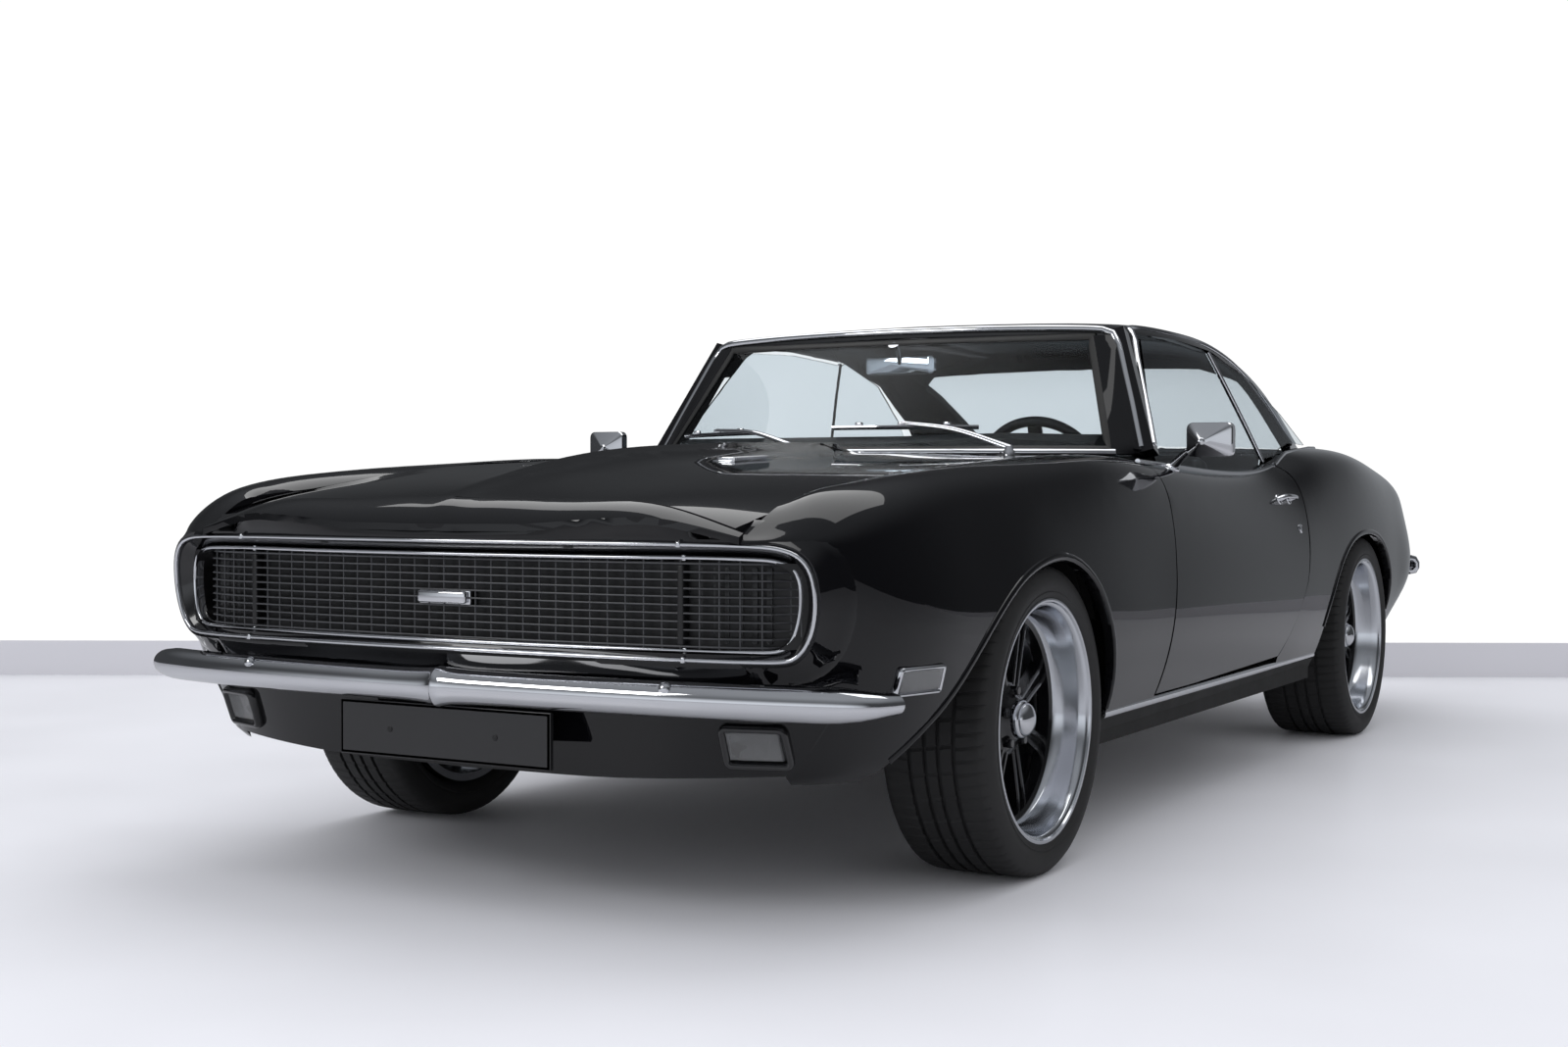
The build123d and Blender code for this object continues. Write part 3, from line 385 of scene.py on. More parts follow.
def smooth_groups(mesh: bmesh.types.BMesh, crease: float) -> list[int]:
    """Number the regions of faces that sharp edges part.

    Args:
        mesh: The merged bmesh.
        crease: Angle from which an edge is sharp, in degrees.

    Returns:
        For each face, the number of its region.
    """
    limit = math.radians(crease)
    sharp = {e.index for e in mesh.edges
             if len(e.link_faces) != 2 or e.calc_face_angle(0.0) > limit}
    mesh.edges.index_update()
    group = [-1] * len(mesh.faces)
    count = 0
    for seed in mesh.faces:
        if group[seed.index] >= 0:
            continue
        group[seed.index] = count
        stack = [seed]
        while stack:
            for edge in stack.pop().edges:
                if edge.index in sharp:
                    continue
                for other in edge.link_faces:
                    if group[other.index] < 0:
                        group[other.index] = count
                        stack.append(other)
        count += 1
    return group


def refined_copy(node: str, finish: Finish, crease: float = 24.0) -> None:
    """Copy a CAD node with merged points and smooth surface normals, and let it stand for the node.

    Args:
        node: CAD node name.
        finish: Its finish.
        crease: Angle from which an edge shades sharp, in degrees.
    """
    source = FRAME["nodes"][node]
    mesh = bmesh.new()
    mesh.from_mesh(source.data)
    bmesh.ops.remove_doubles(mesh, verts=mesh.verts, dist=CAD_MERGE)
    bmesh.ops.dissolve_degenerate(mesh, edges=mesh.edges, dist=MERGE)
    mesh.verts.ensure_lookup_table()
    mesh.faces.ensure_lookup_table()
    group = smooth_groups(mesh, crease)
    points = np.array([v.co for v in mesh.verts])
    rings, guesses, where = [], [], {}
    for vertex in mesh.verts:
        for label in {group[f.index] for f in vertex.link_faces}:
            near = {vertex.index}
            frontier = {vertex}
            rough = Vector()
            for f in vertex.link_faces:
                if group[f.index] == label:
                    rough += f.normal * f.calc_area()
            for _ in range(QUADRIC_REACH):
                grown = set()
                for v in frontier:
                    for f in v.link_faces:
                        if group[f.index] == label:
                            grown.update(f.verts)
                frontier = {v for v in grown if v.index not in near}
                near.update(v.index for v in grown)
            near.discard(vertex.index)
            where[(vertex.index, label)] = len(rings)
            rings.append(np.array([vertex.index, *near]))
            guesses.append(rough.normalized() if rough.length > 0 else Vector((0, 0, 1)))
    normals = fitted_normals(points, rings, np.array(guesses))
    loops = []
    for face in mesh.faces:
        face.smooth = True
        for corner in face.loops:
            loops.append(normals[where[(corner.vert.index, group[face.index])]])
    piece = linked(node + "_skin", mesh, finish)
    piece.data.normals_split_custom_set(loops)
    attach(piece, source["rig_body"])
    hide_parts(node)


# ------------------------------------------------------------------ shape tools
def swept(mesh: bmesh.types.BMesh, rings: Sequence[Sequence[Vector]], cyclic: bool = True,
          closed: bool = False) -> None:
    """Extrude a ring of edges through a row of rings, each with as many points.

    Args:
        mesh: The bmesh to add to.
        rings: The rings in order.
        cyclic: Whether each ring is closed on itself.
        closed: Whether the last ring joins the first; if not, closed rings get end caps.
    """
    count = len(rings[0])
    pairs = [(i, (i + 1) % count) for i in range(count if cyclic else count - 1)]
    verts = [mesh.verts.new(p) for p in rings[0]]
    edges = [mesh.edges.new((verts[a], verts[b])) for a, b in pairs]
    ends = [edges]
    rows = list(rings[1:]) + ([rings[0]] if closed else [])
    for ring in rows:
        made = bmesh.ops.extrude_edge_only(mesh, edges=edges)["geom"]
        fresh = {g for g in made if isinstance(g, bmesh.types.BMVert)}
        verts = [next(e.other_vert(v) for e in v.link_edges if e.other_vert(v) in fresh) for v in verts]
        for vert, point in zip(verts, ring):
            vert.co = point
        edges = [mesh.edges.get((verts[a], verts[b])) for a, b in pairs]
    if cyclic and not closed:
        for rim in (ends[0], edges):
            bmesh.ops.contextual_create(mesh, geom=list(rim))


def turned(mesh: bmesh.types.BMesh, profile: Sequence[Pair], centre: Point = (0, 0, 0),
           axis: Point = (1, 0, 0), steps: int = 48) -> None:
    """Spin a profile round an axis.

    Args:
        mesh: The bmesh to add to.
        profile: Points as (distance along the axis, radius).
        centre: Where the axis starts.
        axis: The axis.
        steps: Steps of the full turn.
    """
    along = Vector(axis).normalized()
    side = along.orthogonal().normalized()
    start = Vector(centre)
    verts = [mesh.verts.new(start + along * h + side * r) for h, r in profile]
    edges = [mesh.edges.new(pair) for pair in zip(verts, verts[1:])]
    bmesh.ops.spin(mesh, geom=verts + edges, cent=start, axis=along, dvec=(0, 0, 0),
                   angle=2 * math.pi, steps=steps, use_merge=True)


def rounded_block(mesh: bmesh.types.BMesh, centre: Point, size: Point, radius: float, segments: int = 3,
                  turn: Matrix | None = None) -> None:
    """Add a block with rounded edges.

    Args:
        mesh: The bmesh to add to.
        centre: Its middle.
        size: Its length each way.
        radius: Radius of the edges.
        segments: Segments of each rounding.
        turn: How it is turned.
    """
    matrix = Matrix.Translation(centre) @ (turn or Matrix()) @ Matrix.Diagonal((*size, 1.0))
    made = bmesh.ops.create_cube(mesh, size=1.0, matrix=matrix)["verts"]
    edges = list({e for v in made for e in v.link_edges})
    bmesh.ops.bevel(mesh, geom=edges, offset=radius, segments=segments, profile=0.5, affect="EDGES",
                    material=-1)


def tube(mesh: bmesh.types.BMesh, path: Sequence[Vector], radius: float | Sequence[float],
         sides: int = 10, squash: float = 1.0) -> None:
    """Add a round bar along a path.

    Args:
        mesh: The bmesh to add to.
        path: Points on its middle.
        radius: Its radius, or one for each point.
        sides: Sides of the section.
        squash: Height of the section as a share of its width.
    """
    points = [Vector(p) for p in path]
    radii = [radius] * len(points) if isinstance(radius, float) else list(radius)
    rings, across = [], None
    for i, point in enumerate(points):
        ahead = (points[min(i + 1, len(points) - 1)] - points[max(i - 1, 0)]).normalized()
        across = ahead.orthogonal() if across is None else across - ahead * across.dot(ahead)
        across.normalize()
        up = ahead.cross(across)
        rings.append([point + (across * math.cos(2 * math.pi * k / sides)
                               + up * math.sin(2 * math.pi * k / sides) * squash) * radii[i]
                      for k in range(sides)])
    swept(mesh, rings)


def strip(mesh: bmesh.types.BMesh, path: Sequence[Spot], section: Sequence[Pair],
          closed: bool = False) -> None:
    """Add a moulding that follows a surface.

    Args:
        mesh: The bmesh to add to.
        path: Surface points, each with its normal.
        section: Points of the section as (across, off the surface).
        closed: Whether the path is a loop.
    """
    rings, count = [], len(path)
    for i, (point, normal) in enumerate(path):
        after = path[(i + 1) % count][0] if closed or i + 1 < count else point
        before = path[i - 1][0] if closed or i else point
        ahead = (after - before).normalized()
        out = (normal - ahead * normal.dot(ahead)).normalized()
        across = ahead.cross(out)
        rings.append([point + across * a + out * h for a, h in section])
    swept(mesh, rings, closed=closed)


def bead(width: float, height: float, sink: float = 0.002) -> list[Pair]:
    """Section of a rounded moulding.

    Args:
        width: Its width.
        height: How far it stands off.
        sink: How far its foot goes into the surface.

    Returns:
        The section as (across, off the surface).
    """
    arc = [(width / 2 * math.cos(a), height * math.sin(a)) for a in np.linspace(0, math.pi, 9)]
    return [(width / 2, -sink), *arc, (-width / 2, -sink)]


def resampled(points: Sequence[Sequence[float]], step: float) -> list[Vector]:
    """Smooth curve through points, at about even steps.

    Args:
        points: Points on the curve.
        step: Distance between the results.

    Returns:
        Points along the curve.
    """
    known = [Vector(p) for p in points]
    padded_row = [known[0] * 2 - known[1], *known, known[-1] * 2 - known[-2]]
    result = []
    for a, b, c, d in zip(padded_row, padded_row[1:], padded_row[2:], padded_row[3:]):
        count = max(1, round((c - b).length / step))
        for k in range(count):
            t = k / count
            result.append(0.5 * ((2 * b) + (c - a) * t + (2 * a - 5 * b + 4 * c - d) * t * t
                                 + (3 * b - a - 3 * c + d) * t ** 3))
    return result + [known[-1]]


def pair(name: str, mesh: bmesh.types.BMesh, finish: Finish, bodies: tuple[str, str], slot: str,
         smooth: float = 30.0, node: str = "") -> None:
    """Make a left piece and its mirror image.

    Args:
        name: Name without the side.
        mesh: The left piece's bmesh, which is freed.
        finish: Their finish.
        bodies: The left and the right body.
        slot: The record's material slot; not used.
        smooth: Angle below which edges shade smooth.
        node: CAD node they stand for, without the side, if any.
    """
    other = mesh.copy()
    bmesh.ops.scale(other, vec=(-1.0, 1.0, 1.0), verts=other.verts)
    for side, half, body in (("left", mesh, bodies[0]), ("right", other, bodies[1])):
        piece = new_object(f"{name}_{side}", half, finish, body, smooth)
        if node:
            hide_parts(f"{node}_{side}")


class Probe:
    """Finds points on the CAD panels."""

    def __init__(self, *nodes: str) -> None:
        mesh = bmesh.new()
        for node in nodes:
            mesh.from_mesh(FRAME["nodes"][node].data)
        self._tree = BVHTree.FromBMesh(mesh)
        mesh.free()

    def cast(self, start: Point, way: Point) -> Spot | None:
        """Find the first panel point on a ray.

        Args:
            start: Where the ray starts.
            way: Where it goes.

        Returns:
            The point and its outward normal, or nothing.
        """
        point, normal, _, _ = self._tree.ray_cast(Vector(start), Vector(way))
        if point is None:
            return None
        return point, normal if normal.dot(Vector(way)) < 0 else -normal

    def side(self, y: float, z: float) -> Spot | None:
        """Find the left side's surface.

        Args:
            y: Place along the car.
            z: Height.

        Returns:
            The point and its normal, or nothing.
        """
        return self.cast((1.4, y, z), (-1, 0, 0))

    def front(self, x: float, z: float) -> Spot | None:
        """Find the nose's surface.

        Args:
            x: Place across the car.
            z: Height.

        Returns:
            The point and its normal, or nothing.
        """
        return self.cast((x, -3.0, z), (0, 1, 0))

    def rear(self, x: float, z: float) -> Spot | None:
        """Find the tail's surface.

        Args:
            x: Place across the car.
            z: Height.

        Returns:
            The point and its normal, or nothing.
        """
        return self.cast((x, 3.0, z), (0, -1, 0))

    def top(self, x: float, y: float) -> Spot | None:
        """Find the upper surface.

        Args:
            x: Place across the car.
            y: Place along the car.

        Returns:
            The point and its normal, or nothing.
        """
        return self.cast((x, y, 2.0), (0, 0, -1))


def frame_path(low: Pair, high: Pair, corner: float) -> list[Pair]:
    """Outline of a rounded rectangle.

    Args:
        low: Its lower corner.
        high: Its upper corner.
        corner: Corner radius.

    Returns:
        Points round the outline.
    """
    centres = ((high[0] - corner, high[1] - corner), (low[0] + corner, high[1] - corner),
               (low[0] + corner, low[1] + corner), (high[0] - corner, low[1] + corner))
    return [(cx + corner * math.cos(a), cy + corner * math.sin(a))
            for i, (cx, cy) in enumerate(centres)
            for a in np.linspace(i * math.pi / 2, (i + 1) * math.pi / 2, 5)]


# ------------------------------------------------------------------ the car
@dataclass
class CarriedNodes:
    """Finishes of the CAD nodes that stay as they are."""

    finishes: dict[str, Finish] = field(default_factory=lambda: dict(SLOT_FINISH))

    def build(self) -> int:
        """Give every CAD node its finish.

        Returns:
            How many nodes were finished.
        """
        slots = {entry["node"]: entry["material_slot"] for entry in FRAME["record"]["subparts"]}
        for name, node in FRAME["nodes"].items():
            finish = self.finishes.get(slots.get(name, ""), SATIN_BLACK)
            node.data.materials.clear()
            node.data.materials.append(PALETTE.get(finish))
        return len(slots)


@dataclass
class BodyPanels:
    """Painted panels, with the reflections of a smooth surface."""

    nodes: Sequence[str] = ("fender_left", "fender_right", "quarter_left", "quarter_right", "door_left",
                            "door_right", "hood", "header_panel", "cowl_panel", "decklid", "tail_panel",
                            "deck_filler", "roof", "front_valance")

    def build(self) -> int:
        """Refine each panel.

        Returns:
            How many panels were made.
        """
        for node in self.nodes:
            refined_copy(node, PAINT)
        return len(self.nodes)


@dataclass
class BrightMetal:
    """Chrome node that keeps its shape, with smooth reflections."""

    nodes: Sequence[str] = ("rear_bumper",)

    def build(self) -> int:
        """Refine each bright node.

        Returns:
            How many nodes were made.
        """
        for node in self.nodes:
            refined_copy(node, CHROME, crease=28.0)
        return len(self.nodes)


# ------------------------------------------------------------------ nose
@dataclass
class Nose:
    """Grille grid, headlamp covers, bumper fittings, lamps and plate.

    Args:
        pitch: Distance between the grid's upright bars.
        step: Distance between its rows.
        level: Height of its middle row.
        height: Length of an upright bar.
        grid_end: Where the rows end, the uppermost and lowest first.
        slat_top: Height at which the slats behind the grid are cut off.
        cover: Inner and outer edge of a headlamp cover.
        outer: Front view of the outer ring's left half.
        inner: Front view of the inner ring's left half.
        bumper: Plan view of the bumper's left half.
    """

    pitch: float = 0.0375
    step: float = 0.015
    level: float = 0.606
    height: float = 0.161
    grid_end: Pair = (0.705, 0.73)
    slat_top: float = 0.6835
    cover: Pair = (0.530, 0.7335)
    outer: Sequence[Pair] = (
        (0.0, 0.7165), (0.30, 0.7165), (0.538, 0.716), (0.68, 0.7135), (0.735, 0.707), (0.765, 0.692),
        (0.782, 0.665), (0.7875, 0.625), (0.784, 0.585), (0.773, 0.550), (0.755, 0.524), (0.728, 0.510),
        (0.66, 0.507), (0.536, 0.507), (0.30, 0.508), (0.0, 0.509))
    inner: Sequence[Pair] = (
        (0.0, 0.6905), (0.30, 0.6905), (0.530, 0.691), (0.66, 0.6895), (0.705, 0.686), (0.733, 0.676),
        (0.746, 0.655), (0.7495, 0.625), (0.747, 0.590), (0.738, 0.556), (0.724, 0.535), (0.703, 0.5255),
        (0.64, 0.523), (0.541, 0.523), (0.30, 0.5235), (0.0, 0.524))
    bumper: Sequence[Pair] = (
        (0.0, -2.3335), (0.25, -2.3295), (0.512, -2.312), (0.72, -2.2805), (0.84, -2.2475), (0.896, -2.208),
        (0.9195, -2.152))

    def build(self) -> int:
        """Make all pieces of the nose.

        Returns:
            How many upright bars the grid has.
        """
        probe = Probe("grille")
        count = self._grid(probe)
        self._covers(probe)
        self._bar(probe)
        self._rings()
        self._bumper()
        self._lamps()
        self._plate()
        return count

    def _grid(self, probe: Probe) -> int:
        """Add the grid's upright bars and rows, and the slats behind them.

        Args:
            probe: Probe of the grille.

        Returns:
            How many upright bars were made.
        """
        mesh = bmesh.new()
        half = round(self.cover[1] / self.pitch)
        made = 0
        for i in range(-half, half + 1):
            x = i * self.pitch
            hit = probe.front(x, self.level)
            if hit is None:
                continue
            short = 0.026 if abs(x) > 0.70 else 0.0
            size = (0.0028, 0.0042, self.height - 2 * short)
            rounded_block(mesh, (x, hit[0].y + 0.0018, 0.607), size, 0.0008, 1)
            made += 1
        for i in range(-5, 6):
            reach = self.grid_end[0 if abs(i) == 5 else 1]
            hits = [probe.front(float(x), self.level) for x in np.linspace(-reach, reach, 74)]
            row = [Vector((p[0].x, p[0].y, self.level + i * self.step)) for p in hits if p]
            tube(mesh, row, 0.0018, 8)
        new_object("grille_grid", mesh, GRID_GREY, "shell")
        mesh = bmesh.new()
        mesh.from_mesh(FRAME["nodes"]["grille"].data)
        bmesh.ops.remove_doubles(mesh, verts=mesh.verts, dist=CAD_MERGE)
        bmesh.ops.bisect_plane(mesh, geom=mesh.verts[:] + mesh.edges[:] + mesh.faces[:], dist=MERGE,
                               plane_co=(0, 0, self.slat_top), plane_no=(0, 0, 1), clear_outer=True)
        bmesh.ops.holes_fill(mesh, edges=[e for e in mesh.edges if e.is_boundary])
        core = new_object("grille_core", mesh, SATIN_BLACK, "shell")
        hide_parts("grille")
        return made

    def _covers(self, probe: Probe) -> None:
        """Add the ribbed headlamp covers behind the grid and their dividers.

        Args:
            probe: Probe of the grille.
        """
        mesh = bmesh.new()
        x = self.cover[0] + 0.020
        while x < self.cover[1] - 0.02:
            hit = probe.front(x, self.level)
            if hit is not None:
                rounded_block(mesh, (x, hit[0].y + 0.024, self.level), (0.021, 0.010, 0.140), 0.003, 2)
            x += self.pitch / 1.5
        pair("cover_ribs", mesh, RIB_BLACK, SHELL, "black_plastic")
        mesh = bmesh.new()
        hit = probe.front(self.cover[0], self.level)
        place = (self.cover[0] - 0.004, hit[0].y + 0.010, self.level)
        rounded_block(mesh, place, (0.013, 0.026, 0.146), 0.003)
        pair("cover_divider", mesh, SATIN_BLACK, SHELL, "black_plastic")

    def _bar(self, probe: Probe) -> None:
        """Add the plain bright bar in the middle of the grid.

        Args:
            probe: Probe of the grille.
        """
        mesh = bmesh.new()
        hit = probe.front(0.0, self.level)
        rounded_block(mesh, (0.0, hit[0].y - 0.004, 0.607), (0.118, 0.012, 0.024), 0.005)
        rounded_block(mesh, (0.0, hit[0].y + 0.006, 0.607), (0.126, 0.008, 0.032), 0.003)
        new_object("grille_bar", mesh, CHROME, "shell")

    def _rings(self) -> None:
        """Add both bright rings, with the painted edge round them and the dark recess between them."""
        outer, inner = self._loop(self.outer, 0.012), self._loop(self.inner, 0.012)
        front = [Vector((x, self._face(x, z), z)) for x, z in outer]
        back = [Vector((x, self._inner_face(x), z)) for x, z in inner]
        ahead = Vector((0, -1, 0))
        mesh = bmesh.new()
        strip(mesh, [(p, ahead) for p in front], bead(0.0085, 0.005, 0.014), closed=True)
        strip(mesh, [(p, ahead) for p in back], bead(0.0095, 0.0075, 0.016), closed=True)
        for ring, x, size in ((front, 0.537, 0.011), (back, 0.534, 0.0115)):
            for p in ring:
                if abs(abs(p.x) - x) < 0.0058:
                    rounded_block(mesh, p + ahead * 0.001, (0.010, 0.0105, size), 0.002, 2)
        rings = new_object("grille_rings", mesh, CHROME, "shell", 50.0)
        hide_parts("grille_surround")
        self._edge(front)
        self._recess()

    def _edge(self, front: Sequence[Vector]) -> None:
        """Add the painted edge that joins the outer ring to the panels.

        Args:
            front: Points round the outer ring.
        """
        probe = Probe("header_panel", "fender_left", "front_valance")
        middle = Vector((0, 0, 0.61))
        away = [Vector((p.z - q.z, 0, q.x - p.x)).normalized()
                for p, q in zip(front[1:] + front[:1], front[-1:] + front[:-1])]
        away = [w if w.dot(p - middle) > 0 else -w for w, p in zip(away, front)]
        starts = [p + w * 0.0100 + Vector((0, 0.0015, 0)) for p, w in zip(front, away)]
        ends = []
        for p, w in zip(front, away):
            spot = p + w * 0.046
            hit = probe.front(abs(spot.x), spot.z)
            ends.append(Vector((spot.x, (hit[0].y if hit else p.y + 0.05) + 0.0005, spot.z)))
        bends = [p + w * 0.016 + Vector((0, 0.3 * (end.y - p.y), 0))
                 for p, w, end in zip(front, away, ends)]
        rows = [[p + w * 0.0035 + Vector((0, 0.003, 0)) for p, w in zip(front, away)], starts]
        for t in (0.25, 0.5, 0.75, 1.0):
            rows.append([start * (1 - t) ** 2 + bend * 2 * t * (1 - t) + end * t * t
                         for start, bend, end in zip(starts, bends, ends)])
        rows += [[p + Vector((0, 0.006, 0)) for p in ends],
                 [p + w * 0.0035 + Vector((0, 0.030, 0)) for p, w in zip(front, away)]]
        mesh = bmesh.new()
        swept(mesh, rows, closed=True)
        new_object("nose_edge", mesh, PAINT, "shell", 50.0)

    def _recess(self) -> None:
        """Add the dark wall that runs back from the outer ring to the inner one."""
        ring, rows = self._loop(self.outer, 0.02), []
        for a in (0.0, 0.35, 0.7, 1.0):
            rows.append([Vector((x * (1 - a * 0.046),
                                 self._face(x, z) * (1 - a) + a * self._inner_face(x) + 0.004,
                                 0.61 + (z - 0.61) * (1 - a * 0.20))) for x, z in ring])
        rows += [[p + Vector((0, 0.006, 0)) for p in row] for row in rows[::-1]]
        mesh = bmesh.new()
        swept(mesh, rows, closed=True)
        new_object("ring_recess", mesh, GLOSS_BLACK, "shell", 40.0)

    def _face(self, x: float, z: float) -> float:
        """Give the nose's front at a point of the outer ring.

        Args:
            x: Place across the car.
            z: Height.

        Returns:
            Its place along the car.
        """
        return -2.336 + 0.138 * x * x + 0.020 * (0.7165 - z) / 0.212

    def _inner_face(self, x: float) -> float:
        """Give the inner ring's place along the car at a place across it."""
        return -2.3065 + 0.150 * x * x

    def _loop(self, half: Sequence[Pair], step: float) -> list[Pair]:
        """Close a ring from its left half.

        Args:
            half: Front view of the left half, from top to bottom.
            step: Distance between points.

        Returns:
            Points round the ring.
        """
        left = [(p.x, p.z) for p in resampled([(x, 0, z) for x, z in half], step)]
        return left + [(-x, z) for x, z in left[::-1][1:-1]]

    def _bumper(self) -> None:
        """Sweep the front bumper with its peaked middle, and add its round bolts."""
        route = resampled([(x, y, 0) for x, y in self.bumper], 0.03)
        fine = [Vector((x, -2.3335 + 0.08 * x * x, 0)) for x in 0.10 * np.linspace(0.0, 1.0, 36) ** 1.7]
        half = fine + [p for p in route if p.x > 0.115]
        line = [Vector((-p.x, p.y, 0)) for p in half[::-1][:-1]] + half
        rings = []
        for i, p in enumerate(line):
            ahead = (line[min(i + 1, len(line) - 1)] - line[max(i - 1, 0)]).normalized()
            if abs(p.x) < 0.11:
                ahead = Vector((1, 0.16 * p.x, 0)).normalized()
            out = Vector((ahead.y, -ahead.x, 0))
            rise = 0.55 * math.exp(-abs(p.x) / 0.0065) + 0.45 * math.exp(-abs(p.x) / 0.060)
            crown = math.exp(-abs(p.x) / 0.035)
            tip = max(0.0, (abs(p.x) - 0.80) / 0.121)
            tall = 0.0335 * (1 - 0.38 * tip ** 2) + 0.0065 * crown
            ring = []
            for a in np.linspace(-math.pi / 2, math.pi / 2, 19):
                bulge = 0.040 * (1 - abs(math.cos(a)) ** 0.80)
                ring.append(p + out * (0.0110 * rise - bulge) + Vector((0, 0, 0.4345 + tall * math.sin(a))))
            for a in np.linspace(math.pi / 2, -math.pi / 2, 19)[1:-1]:
                bulge = 0.043 - 0.037 * abs(math.cos(a)) ** 0.80
                ring.append(p - out * bulge + Vector((0, 0, 0.4345 + (tall - 0.004) * math.sin(a))))
            rings.append(ring)
        mesh = bmesh.new()
        swept(mesh, rings)
        blade = new_object("bumper_blade", mesh, CHROME, "shell", 42.0)
        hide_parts("front_bumper")
        mesh = bmesh.new()
        rounded_block(mesh, (0.400, -2.246, 0.4325), (0.040, 0.108, 0.034), 0.004)
        rounded_block(mesh, (0.400, -2.296, 0.4325), (0.060, 0.010, 0.046), 0.003)
        pair("bumper_bracket", mesh, UNDERBODY, SHELL, "underbody")
        mesh = bmesh.new()
        turned(mesh, [(-0.006, 0.012), (0.001, 0.012), (0.004, 0.010), (0.0065, 0.006), (0.0075, 0.0)],
               (0.512, -2.3030, 0.4590), (0.12, -0.75, 0.65), 24)
        pair("bumper_bolt", mesh, CHROME, SHELL, "bright_chrome")

    def _lamps(self) -> None:
        """Add the bezels of the park lamps and side markers."""
        probe = Probe("front_valance")
        mesh = bmesh.new()
        path = [probe.front(x, z) for x, z in frame_path((0.583, 0.313), (0.693, 0.383), 0.010)]
        strip(mesh, [p for p in path if p], bead(0.017, 0.015), closed=True)
        pair("park_bezel", mesh, GLOSS_BLACK, SHELL, "black_plastic", 40.0)
        probe = Probe("fender_left")
        mesh = bmesh.new()
        path = [probe.side(y, z) for y, z in frame_path((-2.062, 0.442), (-1.946, 0.488), 0.004)]
        strip(mesh, [p for p in path if p], bead(0.011, 0.010), closed=True)
        pair("marker_frame", mesh, CHROME, SHELL, "bright_chrome", 40.0)

    def _plate(self) -> None:
        """Add the blank plate over its CAD carrier."""
        mesh = bmesh.new()
        rounded_block(mesh, (0.0, -2.3025, 0.343), (0.519, 0.007, 0.109), 0.002)
        rounded_block(mesh, (0.0, -2.3065, 0.343), (0.505, 0.0015, 0.096), 0.0005, 1)
        new_object("blank_plate", mesh, PLATE, "shell")
        for x in (-0.130, 0.130):
            mesh = bmesh.new()
            turned(mesh, [(-0.002, 0.006), (0.001, 0.006), (0.002, 0.003), (0.002, 0.0)],
                   (x, -2.3072, 0.343), (0, -1, 0), 16)
            new_object(f"plate_screw_{'left' if x > 0 else 'right'}", mesh, SATIN_BLACK, "shell")


